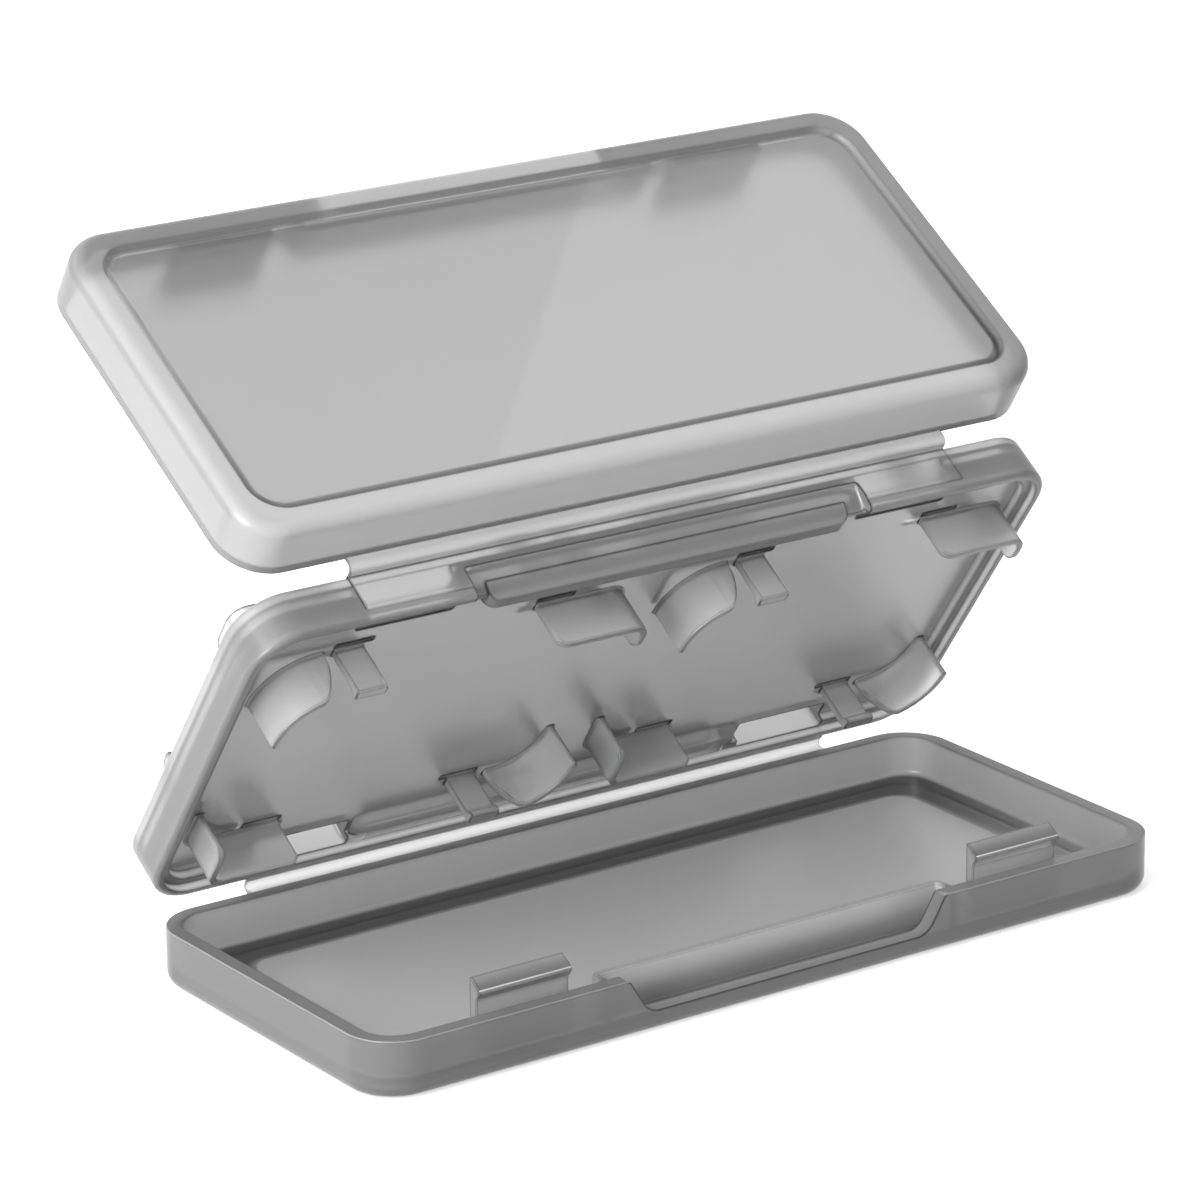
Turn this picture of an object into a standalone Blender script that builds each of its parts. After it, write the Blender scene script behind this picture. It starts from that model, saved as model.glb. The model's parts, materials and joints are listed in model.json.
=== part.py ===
"""Pocket case for small game cards: a tray, a middle leaf and a cover that fold together as a Z.

Lengths are in metres. X runs along the width, Y to the rear and Z up. The case stands open on its
tray, and the origin is the middle of the ground under its bounding box. The tray and the cover are
the same moulding, and the back of the middle leaf is its front turned half round about X.
"""

import math
from collections import namedtuple

import bmesh
import bpy
from mathutils import Vector

MM = 0.001

# The card and the place that holds it
CARD_WIDTH = 31.0 * MM
CARD_DEPTH = 21.0 * MM
CARD_THICKNESS = 3.3 * MM
CARD_PLAY_X = 0.7 * MM
CARD_PLAY_Y = 0.25 * MM
PLACE_SPACING = 4.6 * MM

# The clips that stand round a card
CLIP_WALL = 0.6 * MM
CLIP_HEADROOM = 0.9 * MM
CORNER_CLIP_RADIUS = 4.8 * MM
CORNER_CLIP_LAND = 0.5 * MM
CORNER_CLIP_UPRIGHT = 0.2 * MM
CORNER_CLIP_SLANT = 2.1 * MM
TAB_START = 6.1 * MM
TAB_LENGTH = 2.8 * MM
TAB_BARB = 0.4 * MM
TAB_BARB_HEIGHT = 0.9 * MM
ANGLE_CLIP_LENGTH = 8.8 * MM
ANGLE_CLIP_BEND = 1.5 * MM
UPPER_ANGLE_CLIP_SIDE = 3.2 * MM
LOWER_ANGLE_CLIP_SIDE = 4.4 * MM
CLIP_END_ROUND = 1.1 * MM
CORE_SLOT_WIDTH = 0.6 * MM
CORE_SLOT_LENGTH = 3.6 * MM
CORE_SLOT_DEPTH = 0.5 * MM

# Middle leaf
MIDDLE_THICKNESS = 4.3 * MM
MIDDLE_EDGE_ROUND = 0.45 * MM
RIM_WIDTH = 0.85 * MM
STEP_WIDTH = 0.8 * MM
STEP_DEPTH = 0.66 * MM
FACE_DEPTH = 1.35 * MM
CLIP_RIM_SPACE = 0.95 * MM
CLIP_GUARD_SPACE = 1.9 * MM

# Tray and cover
FLOOR_THICKNESS = 1.4 * MM
FIELD_RISE = 0.25 * MM
FIELD_MARGIN = 4.0 * MM
FIELD_SLOPE = 0.3 * MM
FIELD_CORNER = 1.2 * MM
TIP_CLEARANCE = 0.5 * MM
SHELL_WALL = 1.4 * MM
RIM_CHAMFER = 0.25 * MM
FOOT_ROUND = 0.4 * MM
EDGE_ROUND = 1.2 * MM
FOOT_RING_WIDTH = 0.9 * MM
PANEL_DEPTH = 0.35 * MM
PANEL_CORNER = 3.0 * MM
LEAF_CORNER = 4.2 * MM

# Thumb notch in the front wall, the guard wall behind it and the tongue that drops in between
NOTCH_HALF_TOP = 15.45 * MM
NOTCH_HALF_BASE = 13.6 * MM
NOTCH_DEPTH = 3.0 * MM
NOTCH_CORNER = 1.8 * MM
THUMB_POCKET = 1.2 * MM
GUARD_WALL = 0.6 * MM
GUARD_LAP = 1.1 * MM
TONGUE_LAP = 1.95 * MM
TONGUE_PAD_LAP = 1.55 * MM
TONGUE_DROP = 0.8 * MM
TONGUE_WALL_CLEARANCE = 0.35 * MM
TONGUE_GUARD_CLEARANCE = 0.3 * MM
TONGUE_END_ROUND = 1.0 * MM
SCOOP_REACH = 1.65 * MM
SCOOP_DEPTH = 2.7 * MM

# Snap catches and the windows that they drop into
CATCH_WIDTH = 8.5 * MM
CATCH_SPACING = 0.7 * MM
CATCH_FOOT_CLEARANCE = 0.2 * MM
CATCH_WALL = 0.9 * MM
CATCH_LIP = 0.5 * MM
CATCH_RISE = 2.6 * MM
CATCH_LIP_RISE = 1.75 * MM
CATCH_LIP_HEIGHT = 0.25 * MM
WINDOW_CLEARANCE = 0.25 * MM
WINDOW_LIP_CLEARANCE = 0.5 * MM

# Hinges and rest pose
HINGE_GAP = 0.8 * MM
CLOSED_GAP = 0.2 * MM
WEB_THICKNESS = 0.3 * MM
WEB_REACH = 1.3 * MM
WEB_END_INSET = 9.7 * MM
MIDDLE_OPENING = math.radians(55.0)
COVER_OPENING = math.radians(87.0)

# Gap between two pieces where one stands on the other
SEAT_GAP = 0.25 * MM
# How far a cutter runs past the surface that it cuts
CUT_PAST = 1.0 * MM
CORNER_STEPS = 7
EDGE_STEPS = 4

# Sizes that follow from those above
PLACE_HALF_X = CARD_WIDTH / 2 + CARD_PLAY_X
PLACE_HALF_Y = CARD_DEPTH / 2 + CARD_PLAY_Y
CLIP_HALF_X = PLACE_HALF_X + CLIP_WALL
CLIP_HALF_Y = PLACE_HALF_Y + CLIP_WALL
PLACE_CENTRE_X = CLIP_HALF_X + PLACE_SPACING / 2
CLIP_HEIGHT = CARD_THICKNESS + CLIP_HEADROOM
GUARD_SETBACK = SHELL_WALL + THUMB_POCKET
SIDE_MARGIN = RIM_WIDTH + STEP_WIDTH + CLIP_RIM_SPACE
END_MARGIN = GUARD_SETBACK + GUARD_WALL + CLIP_GUARD_SPACE
LEAF_WIDTH = 2 * (PLACE_CENTRE_X + CLIP_HALF_X + SIDE_MARGIN)
LEAF_DEPTH = 2 * (CLIP_HALF_Y + END_MARGIN)
PANEL_INSET = EDGE_ROUND + FOOT_RING_WIDTH
CLIP_REACH = CLIP_HEIGHT - FACE_DEPTH
SHELL_HEIGHT = FLOOR_THICKNESS + FIELD_RISE + TIP_CLEARANCE + CLIP_REACH - CLOSED_GAP
TONGUE_HALF = NOTCH_HALF_TOP + TONGUE_LAP
TONGUE_TIP_INSET = SHELL_WALL + TONGUE_WALL_CLEARANCE
TONGUE_INNER_INSET = GUARD_SETBACK - TONGUE_GUARD_CLEARANCE
SCOOP_HALF = TONGUE_HALF + SCOOP_REACH
GUARD_HALF = NOTCH_HALF_TOP + GUARD_LAP
TONGUE_PAD_HALF = GUARD_HALF - TONGUE_PAD_LAP
CATCH_CENTRE = SCOOP_HALF + CATCH_SPACING + CATCH_WIDTH / 2
CATCH_SETBACK = SHELL_WALL + FOOT_ROUND + CATCH_FOOT_CLEARANCE
WINDOW_INSET = CATCH_SETBACK - CATCH_LIP - WINDOW_LIP_CLEARANCE
WEB_HALF_LENGTH = LEAF_WIDTH / 2 - WEB_END_INSET
HINGE_HEIGHT = SHELL_HEIGHT + CLOSED_GAP / 2
COVER_ANGLE = COVER_OPENING - MIDDLE_OPENING

Ring = namedtuple("Ring", "inset height corner")


def clear_scene():
    """Start from an empty scene."""
    for thing in list(bpy.data.objects):
        bpy.data.objects.remove(thing, do_unlink=True)


def make_material(name, colour, roughness, transmission):
    """A translucent moulded plastic."""
    material = bpy.data.materials.new(name)
    material.use_nodes = True
    shader = material.node_tree.nodes["Principled BSDF"]
    shader.inputs["Base Color"].default_value = (*colour, 1.0)
    shader.inputs["Roughness"].default_value = roughness
    shader.inputs["Metallic"].default_value = 0.0
    shader.inputs["Transmission Weight"].default_value = transmission
    material.diffuse_color = (*colour, 1.0)
    return material


def make_frame(name, parent=None, location=(0.0, 0.0, 0.0), turn=0.0):
    """An empty that carries the pieces of one leaf or face, turned about X."""
    frame = bpy.data.objects.new(name, None)
    frame.empty_display_size = 5 * MM
    frame.location = location
    frame.rotation_euler = (turn, 0.0, 0.0)
    frame.parent = parent
    bpy.context.collection.objects.link(frame)
    return frame


def make_piece(name, mesh, parent, material, location=(0.0, 0.0, 0.0)):
    """One named piece of the case."""
    piece = bpy.data.objects.new(name, mesh)
    piece.parent = parent
    piece.location = location
    bpy.context.collection.objects.link(piece)
    if material is not None:
        mesh.materials.clear()
        mesh.materials.append(material)
    return piece


def make_cutter(name, mesh, parent):
    """A cutting shape, which is not a piece."""
    cutter = make_piece(name, mesh, parent, None)
    cutter.hide_render = True
    cutter.display_type = "WIRE"
    return cutter


def cut_with(piece, cutter):
    """Take the cutter's shape out of the piece."""
    modifier = piece.modifiers.new(cutter.name, "BOOLEAN")
    modifier.operation = "DIFFERENCE"
    modifier.solver = "EXACT"
    modifier.object = cutter


def finish_mesh(name, shape):
    """Turn the faces outward, shade the round parts smooth and return the mesh."""
    bmesh.ops.recalc_face_normals(shape, faces=shape.faces[:])
    mesh = bpy.data.meshes.new(name)
    shape.to_mesh(mesh)
    shape.free()
    mesh.shade_smooth()
    mesh.set_sharp_from_angle(angle=math.radians(35))
    return mesh


def rounded_outline(corners, steps=CORNER_STEPS, is_closed=True):
    """Points along a plan whose corners, given as (x, y, radius), are replaced by arcs."""
    outline = []
    count = len(corners)
    for index, (x, y, radius) in enumerate(corners):
        is_end = not is_closed and index in (0, count - 1)
        corner = Vector((x, y))
        if radius <= 0.0 or is_end:
            outline.append(corner)
            continue
        back = (Vector(corners[index - 1][:2]) - corner).normalized()
        ahead = (Vector(corners[(index + 1) % count][:2]) - corner).normalized()
        half = back.angle(ahead) / 2
        centre = corner + (back + ahead).normalized() * radius / math.sin(half)
        first = corner + back * radius / math.tan(half) - centre
        last = corner + ahead * radius / math.tan(half) - centre
        sweep = math.atan2(first.cross(last), first.dot(last))
        for step in range(steps + 1):
            angle = sweep * step / steps
            turned = Vector((
                first.x * math.cos(angle) - first.y * math.sin(angle),
                first.x * math.sin(angle) + first.y * math.cos(angle),
            ))
            outline.append(centre + turned)
    return outline


def leaf_outline(inset, corner):
    """The leaf's rounded oblong about its middle, drawn in by inset."""
    half_x = LEAF_WIDTH / 2 - inset
    half_y = LEAF_DEPTH / 2 - inset
    return rounded_outline([
        (half_x, half_y, corner),
        (-half_x, half_y, corner),
        (-half_x, -half_y, corner),
        (half_x, -half_y, corner),
    ])


def inner_corner(inset):
    """Corner radius that keeps a wall as thick round the corner as along the side."""
    return max(LEAF_CORNER - inset, LEAF_CORNER / 4)


def ring_mesh(name, rings, middle_y=0.0):
    """A closed body through a row of rings, capped at the first and the last."""
    shape = bmesh.new()
    loops = []
    for ring in rings:
        outline = leaf_outline(ring.inset, ring.corner)
        loops.append([shape.verts.new((p.x, p.y + middle_y, ring.height)) for p in outline])
    for low, high in zip(loops, loops[1:]):
        for index in range(len(low)):
            after = (index + 1) % len(low)
            shape.faces.new((low[index], low[after], high[after], high[index]))
    shape.faces.new(loops[0])
    shape.faces.new(loops[-1])
    return finish_mesh(name, shape)


def add_prism(shape, outline, start, end, place):
    """Extrude an outline from start to end; place turns (a, b, along) into a point."""
    first = [shape.verts.new(place(p[0], p[1], start)) for p in outline]
    last = [shape.verts.new(place(p[0], p[1], end)) for p in outline]
    for index in range(len(outline)):
        after = (index + 1) % len(outline)
        shape.faces.new((first[index], first[after], last[after], last[index]))
    shape.faces.new(first)
    shape.faces.new(last)


def prism_mesh(name, outline, start, end, place):
    """One extruded outline as a mesh."""
    shape = bmesh.new()
    add_prism(shape, outline, start, end, place)
    return finish_mesh(name, shape)


def along_x(a, b, along):
    """An outline in Y and Z, extruded along X."""
    return (along, a, b)


def along_y(a, b, along):
    """An outline in X and Z, extruded along Y."""
    return (a, along, b)


def along_z(a, b, along):
    """An outline in X and Y, extruded along Z."""
    return (a, b, along)


def oblong(low_a, high_a, low_b, high_b):
    """Four corners of an oblong outline."""
    return [(low_a, low_b), (high_a, low_b), (high_a, high_b), (low_a, high_b)]


# Tray and cover


def shell_mesh():
    """Panel, rounded outer edge, wall, rim, inner floor channel and the raised field, as rings."""
    wall = SHELL_WALL
    rings = [
        Ring(PANEL_INSET, PANEL_DEPTH, PANEL_CORNER),
        Ring(PANEL_INSET, 0.0, PANEL_CORNER),
    ]
    for step in range(EDGE_STEPS + 1):
        angle = math.pi / 2 * step / EDGE_STEPS
        inset = EDGE_ROUND * (1 - math.sin(angle))
        rings.append(Ring(inset, EDGE_ROUND * (1 - math.cos(angle)), LEAF_CORNER - inset))
    rings += [
        Ring(0.0, SHELL_HEIGHT, LEAF_CORNER),
        Ring(wall - RIM_CHAMFER, SHELL_HEIGHT, inner_corner(wall - RIM_CHAMFER)),
        Ring(wall, SHELL_HEIGHT - RIM_CHAMFER, inner_corner(wall)),
        Ring(wall, FLOOR_THICKNESS + FOOT_ROUND, inner_corner(wall)),
        Ring(wall + FOOT_ROUND, FLOOR_THICKNESS, inner_corner(wall + FOOT_ROUND)),
        Ring(wall + FIELD_MARGIN, FLOOR_THICKNESS, FIELD_CORNER),
        Ring(wall + FIELD_MARGIN + FIELD_SLOPE, FLOOR_THICKNESS + FIELD_RISE, FIELD_CORNER),
    ]
    return ring_mesh("shell", rings)


def notch_mesh():
    """The thumb notch: splayed ends with round feet, right through the front wall."""
    sill = SHELL_HEIGHT - NOTCH_DEPTH
    above = SHELL_HEIGHT + CUT_PAST
    outline = rounded_outline([
        (NOTCH_HALF_TOP, above, 0.0),
        (-NOTCH_HALF_TOP, above, 0.0),
        (-NOTCH_HALF_TOP, SHELL_HEIGHT, 0.0),
        (-NOTCH_HALF_BASE, sill, NOTCH_CORNER),
        (NOTCH_HALF_BASE, sill, NOTCH_CORNER),
        (NOTCH_HALF_TOP, SHELL_HEIGHT, 0.0),
    ])
    front = -LEAF_DEPTH / 2
    return prism_mesh("notch", outline, front - CUT_PAST, front + SHELL_WALL + FOOT_ROUND, along_y)


def guard_mesh():
    """The guard wall behind the notch, with a short return to the front wall at each end."""
    front = -LEAF_DEPTH / 2
    near = front + SHELL_WALL + FOOT_ROUND
    face = front + GUARD_SETBACK
    outer = GUARD_HALF + GUARD_WALL
    bend = GUARD_WALL / 2
    outline = rounded_outline([
        (-outer, near, 0.0),
        (-GUARD_HALF, near, 0.0),
        (-GUARD_HALF, face, bend),
        (GUARD_HALF, face, bend),
        (GUARD_HALF, near, 0.0),
        (outer, near, 0.0),
        (outer, face + GUARD_WALL, bend + GUARD_WALL),
        (-outer, face + GUARD_WALL, bend + GUARD_WALL),
    ], EDGE_STEPS)
    foot = FLOOR_THICKNESS + SEAT_GAP
    return prism_mesh("guard", outline, foot, SHELL_HEIGHT, along_z)


def catch_mesh():
    """One snap catch: an upright plate whose top slopes forward to a lip."""
    plate = -LEAF_DEPTH / 2 + CATCH_SETBACK
    rear = plate + CATCH_WALL
    lip = plate - CATCH_LIP
    lip_top = SHELL_HEIGHT + CATCH_LIP_RISE
    lip_foot = lip_top - CATCH_LIP_HEIGHT
    top = SHELL_HEIGHT + CATCH_RISE
    outline = [
        (plate, FLOOR_THICKNESS + SEAT_GAP),
        (rear, FLOOR_THICKNESS + SEAT_GAP),
        (rear, top - CATCH_LIP_HEIGHT),
        (rear - CATCH_LIP_HEIGHT, top),
        (lip, lip_top),
        (lip, lip_foot),
        (plate, lip_foot - CATCH_LIP),
    ]
    return prism_mesh("catch", outline, -CATCH_WIDTH / 2, CATCH_WIDTH / 2, along_x)


def build_shell(name, frame, meshes, material):
    """A tray or a cover in its frame: shell with its notch, guard wall and two catches."""
    shell = make_piece(f"{name}_shell", meshes["shell"], frame, material)
    cut_with(shell, make_cutter(f"{name}_notch_cutter", meshes["notch"], frame))
    make_piece(f"{name}_guard_wall", meshes["guard"], frame, material)
    for side, sign in (("left", -1), ("right", 1)):
        place = (sign * CATCH_CENTRE, 0.0, 0.0)
        make_piece(f"{name}_catch_{side}", meshes["catch"], frame, material, place)


# Middle leaf, in a frame whose Y is the height up the leaf and whose Z points out of its face


def middle_rings():
    """Front face, two steps, rim, round outer edge, and the same again to the back face."""
    face = RIM_WIDTH + STEP_WIDTH
    half = MIDDLE_THICKNESS / 2
    front = [
        Ring(face, half - FACE_DEPTH, inner_corner(face)),
        Ring(face, half - STEP_DEPTH, inner_corner(face)),
        Ring(RIM_WIDTH, half - STEP_DEPTH, inner_corner(RIM_WIDTH)),
        Ring(RIM_WIDTH, half, inner_corner(RIM_WIDTH)),
    ]
    for step in range(EDGE_STEPS + 1):
        angle = math.pi / 2 * step / EDGE_STEPS
        inset = MIDDLE_EDGE_ROUND * (1 - math.sin(angle))
        fall = MIDDLE_EDGE_ROUND * (1 - math.cos(angle))
        front.append(Ring(inset, half - fall, LEAF_CORNER - inset))
    back = [Ring(ring.inset, -ring.height, ring.corner) for ring in reversed(front)]
    middle = -MIDDLE_THICKNESS / 2
    return [Ring(ring.inset, ring.height + middle, ring.corner) for ring in front + back]


def window_cutter_mesh():
    """The two windows beside the top edge that take the catches of the shell facing this side."""
    shape = bmesh.new()
    outer = LEAF_DEPTH - WINDOW_INSET
    inner = LEAF_DEPTH - CATCH_SETBACK - CATCH_WALL - WINDOW_CLEARANCE
    half = CATCH_WIDTH / 2 + WINDOW_CLEARANCE
    for sign in (-1, 1):
        centre = sign * CATCH_CENTRE
        outline = oblong(centre - half, centre + half, inner, outer)
        add_prism(shape, outline, -MIDDLE_THICKNESS - CUT_PAST, CUT_PAST, along_z)
    return finish_mesh("windows", shape)


def tongue_slope(depth):
    """Inset of the scooped face at a depth behind the front plane."""
    return TONGUE_TIP_INSET * (SCOOP_DEPTH - depth) / (SCOOP_DEPTH + TONGUE_DROP)


def scoop_cutter_mesh():
    """The slope into the top edge above the tongue."""
    past = LEAF_DEPTH + CUT_PAST
    outline = [
        (LEAF_DEPTH, -SCOOP_DEPTH),
        (past, -SCOOP_DEPTH),
        (past, CUT_PAST),
        (LEAF_DEPTH - tongue_slope(-CUT_PAST), CUT_PAST),
    ]
    return prism_mesh("scoop", outline, -SCOOP_HALF, SCOOP_HALF, along_x)


def seat_cutter_mesh():
    """The flat seat that the tongue stands on, cut down to the face of the leaf."""
    half = TONGUE_HALF + SEAT_GAP
    inner = LEAF_DEPTH - TONGUE_INNER_INSET - SEAT_GAP
    depth = FACE_DEPTH + SEAT_GAP / 2
    outline = oblong(inner, LEAF_DEPTH + CUT_PAST, -depth, CUT_PAST)
    return prism_mesh("seat", outline, -half, half, along_x)


def tongue_mesh():
    """The thumb tongue: a sloping bar up to the rim, and a pad on it that drops behind the notch."""
    foot = FACE_DEPTH + SEAT_GAP / 2 - SEAT_GAP
    front = LEAF_DEPTH - tongue_slope(foot)
    tip = LEAF_DEPTH - TONGUE_TIP_INSET
    inner = LEAF_DEPTH - TONGUE_INNER_INSET
    pad_round = TONGUE_DROP / 2
    ends = rounded_outline([
        (TONGUE_HALF, -foot, 0.0),
        (TONGUE_HALF, 0.0, TONGUE_END_ROUND),
        (TONGUE_PAD_HALF, 0.0, 0.0),
        (TONGUE_PAD_HALF, TONGUE_DROP, pad_round),
        (-TONGUE_PAD_HALF, TONGUE_DROP, pad_round),
        (-TONGUE_PAD_HALF, 0.0, 0.0),
        (-TONGUE_HALF, 0.0, TONGUE_END_ROUND),
        (-TONGUE_HALF, -foot, 0.0),
    ], EDGE_STEPS)

    def place(x, height, side):
        share = (height + foot) / (TONGUE_DROP + foot)
        outer = front + (tip - front) * share
        return (x, outer if side > 0 else inner, height)

    return prism_mesh("tongue", ends, -1, 1, place)


def core_slot_cutter_mesh():
    """Shallow slots in the face at the clips' feet, which the moulding leaves there."""
    shape = bmesh.new()
    middle = LEAF_DEPTH / 2
    below = middle - PLACE_HALF_Y
    above = middle + CLIP_HALF_Y
    inner_run = ANGLE_CLIP_LENGTH - CORE_SLOT_LENGTH
    for centre in (-PLACE_CENTRE_X, PLACE_CENTRE_X):
        left = centre - CLIP_HALF_X
        right = centre + CLIP_HALF_X
        spots = [
            (left + inner_run, below + SEAT_GAP),
            (right - TAB_START - CORE_SLOT_LENGTH, below + SEAT_GAP),
            (left + TAB_START, above + SEAT_GAP),
            (right - inner_run - CORE_SLOT_LENGTH, above + SEAT_GAP),
        ]
        for x, y in spots:
            outline = oblong(x, x + CORE_SLOT_LENGTH, y, y + CORE_SLOT_WIDTH)
            floor = -FACE_DEPTH - CORE_SLOT_DEPTH
            add_prism(shape, outline, floor, -FACE_DEPTH + CORE_SLOT_DEPTH, along_z)
    return finish_mesh("core_slots", shape)


def build_middle_plate(front, back, material):
    """The plate with its rim, cut from both faces by the same set of cutters."""
    mesh = ring_mesh("middle_plate", middle_rings(), LEAF_DEPTH / 2)
    plate = make_piece("middle_plate", mesh, front, material)
    makers = (window_cutter_mesh, scoop_cutter_mesh, seat_cutter_mesh, core_slot_cutter_mesh)
    for make_mesh in makers:
        mesh = make_mesh()
        for face, frame in (("front", front), ("back", back)):
            cut_with(plate, make_cutter(f"{face}_{mesh.name}_cutter", mesh, frame))


# Clips


def path_stations(path, extra):
    """Points and normals along an open path, at its corners and at extra lengths from its start."""
    lengths = [0.0]
    for low, high in zip(path, path[1:]):
        lengths.append(lengths[-1] + (high - low).length)
    wanted = sorted(set(lengths) | {x for x in extra if 0.0 < x < lengths[-1]})
    found = []
    for length in wanted:
        leg = 0
        while leg < len(path) - 2 and length > lengths[leg + 1] + 1e-9:
            leg += 1
        share = (length - lengths[leg]) / (lengths[leg + 1] - lengths[leg])
        point = path[leg].lerp(path[leg + 1], share)
        is_corner = abs(length - lengths[leg + 1]) < 1e-9 and leg < len(path) - 2
        heading = (path[leg + 1] - path[leg]).normalized()
        stretch = 1.0
        if is_corner:
            following = (path[leg + 2] - path[leg + 1]).normalized()
            stretch = 1.0 / math.cos(heading.angle(following) / 2)
            heading = (heading + following).normalized()
        normal = Vector((heading.y, -heading.x)) * stretch
        found.append((length, point, normal))
    return found, lengths[-1]


def round_fall(distance, radius):
    """How far a rounded free corner has fallen at a distance from the end."""
    if distance >= radius:
        return 0.0
    return radius - math.sqrt(radius ** 2 - (radius - distance) ** 2)


def wall_mesh(name, corners, top_at, extra, barb=0.0):
    """A thin upright wall along a path of its outer face, its top given by a rule.

    top_at takes the length along the path and the whole length. The wall lies to the left of the
    path, which is the card's side, and a barb stands out there near the top.
    """
    path = rounded_outline(corners, CORNER_STEPS, is_closed=False)
    stations, total = path_stations(path, extra)
    foot = -FACE_DEPTH + SEAT_GAP
    shape = bmesh.new()
    sections = []
    for length, point, normal in stations:
        top = top_at(length, total)
        inner = point - normal * CLIP_WALL
        section = [(point, foot), (point, top)]
        if barb > 0.0:
            hooked = point - normal * (CLIP_WALL + barb)
            section.append((hooked, top))
            section.append((hooked, top - TAB_BARB_HEIGHT / 2))
            section.append((inner, top - TAB_BARB_HEIGHT))
        else:
            section.append((inner, top))
        section.append((inner, foot))
        sections.append([shape.verts.new((p.x, p.y, z)) for p, z in section])
    for low, high in zip(sections, sections[1:]):
        for index in range(len(low)):
            after = (index + 1) % len(low)
            shape.faces.new((low[index], low[after], high[after], high[index]))
    shape.faces.new(sections[0])
    shape.faces.new(sections[-1])
    return finish_mesh(name, shape)


def corner_clip_mesh():
    """The curved clip about a card's lower right corner; its free edge by the tab is slanted."""
    radius = CORNER_CLIP_RADIUS
    corners = [
        (CLIP_HALF_X - radius - CORNER_CLIP_LAND, -CLIP_HALF_Y, 0.0),
        (CLIP_HALF_X, -CLIP_HALF_Y, radius),
        (CLIP_HALF_X, -CLIP_HALF_Y + radius + CORNER_CLIP_UPRIGHT, 0.0),
    ]

    def top_at(length, _total):
        share = min(length / CORNER_CLIP_SLANT, 1.0)
        return CLIP_REACH * share - (FACE_DEPTH - 2 * SEAT_GAP) * (1.0 - share)

    return wall_mesh("corner_clip", corners, top_at, [CORNER_CLIP_SLANT])


def tab_mesh():
    """The straight tab beside the curved clip, with a barb over the card."""
    right = CLIP_HALF_X - TAB_START
    corners = [(right - TAB_LENGTH, -CLIP_HALF_Y, 0.0), (right, -CLIP_HALF_Y, 0.0)]
    return wall_mesh("tab", corners, lambda _length, _total: CLIP_REACH, [], TAB_BARB)


def angle_clip_mesh(name, side):
    """The L-shaped clip about a card's lower left corner, with round free corners."""
    corners = [
        (-CLIP_HALF_X, -CLIP_HALF_Y + side, 0.0),
        (-CLIP_HALF_X, -CLIP_HALF_Y, ANGLE_CLIP_BEND),
        (-CLIP_HALF_X + ANGLE_CLIP_LENGTH, -CLIP_HALF_Y, 0.0),
    ]
    path = rounded_outline(corners, CORNER_STEPS, is_closed=False)
    total = sum((b - a).length for a, b in zip(path, path[1:]))
    radius = CLIP_END_ROUND
    turns = [math.pi / 2 * step / EDGE_STEPS for step in range(1, EDGE_STEPS + 1)]
    near_start = [radius * (1 - math.cos(turn)) for turn in turns]
    extra = near_start + [total - length for length in near_start]

    def top_at(length, whole):
        return CLIP_REACH - round_fall(length, radius) - round_fall(whole - length, radius)

    return wall_mesh(name, corners, top_at, extra)


def turned_half_round(mesh, name):
    """A copy of a clip mesh turned half round about Z, for the card's opposite corner."""
    turned = mesh.copy()
    turned.name = name
    for vertex in turned.vertices:
        vertex.co.x = -vertex.co.x
        vertex.co.y = -vertex.co.y
    return turned


def build_clips(front, back, material):
    """Six clips round each of two cards on each face."""
    corner = corner_clip_mesh()
    tab = tab_mesh()
    lower_angle = angle_clip_mesh("lower_angle_clip", LOWER_ANGLE_CLIP_SIDE)
    upper_angle = angle_clip_mesh("upper_angle_clip", UPPER_ANGLE_CLIP_SIDE)
    clips = {
        "lower_corner_clip": corner,
        "lower_tab": tab,
        "lower_angle_clip": lower_angle,
        "upper_corner_clip": turned_half_round(corner, "upper_corner_clip"),
        "upper_tab": turned_half_round(tab, "upper_tab"),
        "upper_angle_clip": turned_half_round(upper_angle, "upper_angle_clip"),
    }
    for face, frame in (("front", front), ("back", back)):
        for side, sign in (("left", -1), ("right", 1)):
            place = (sign * PLACE_CENTRE_X, LEAF_DEPTH / 2, 0.0)
            for clip, mesh in clips.items():
                make_piece(f"{face}_{side}_{clip}", mesh, frame, material, place)


# Hinge webs


def web_outline(turn):
    """The web's section about its hinge line at rest, from one leaf's edge round to the other's.

    It runs down beside the first leaf, through the hinge line, and up beside the second leaf,
    whose frame is turned by turn from the first one's.
    """
    offset = HINGE_GAP - SEAT_GAP - WEB_THICKNESS / 2
    first = Vector((-offset, -WEB_REACH))
    last_along = Vector((math.cos(turn), math.sin(turn)))
    last_out = Vector((math.sin(turn), -math.cos(turn)))
    last = last_along * offset + last_out * WEB_REACH
    path = [first, first * 0.35, last * 0.35, last]
    stations, _total = path_stations(path, [])
    half = WEB_THICKNESS / 2
    near = [point + normal * half for _length, point, normal in stations]
    far = [point - normal * half for _length, point, normal in stations]
    return [tuple(p) for p in near + far[::-1]]


def build_web(name, frame, turn, material):
    """One hinge web in the frame of the leaf that it starts from, at the hinge line."""
    outline = web_outline(turn)
    mesh = prism_mesh(name, outline, -WEB_HALF_LENGTH, WEB_HALF_LENGTH, along_x)
    make_piece(name, mesh, frame, material)


# Assembly


def rear_reach():
    """Distance from the tray's middle to the rearmost edge of the cover, along Y."""
    hinge_step = LEAF_DEPTH + 2 * HINGE_GAP
    upper_hinge = LEAF_DEPTH / 2 + HINGE_GAP
    upper_hinge -= hinge_step * math.cos(MIDDLE_OPENING)
    upper_hinge += (MIDDLE_THICKNESS + CLOSED_GAP) * math.sin(MIDDLE_OPENING)
    reach = (LEAF_DEPTH + HINGE_GAP) * math.cos(COVER_ANGLE)
    return upper_hinge + reach - CLOSED_GAP / 2 * math.sin(COVER_ANGLE)


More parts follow.
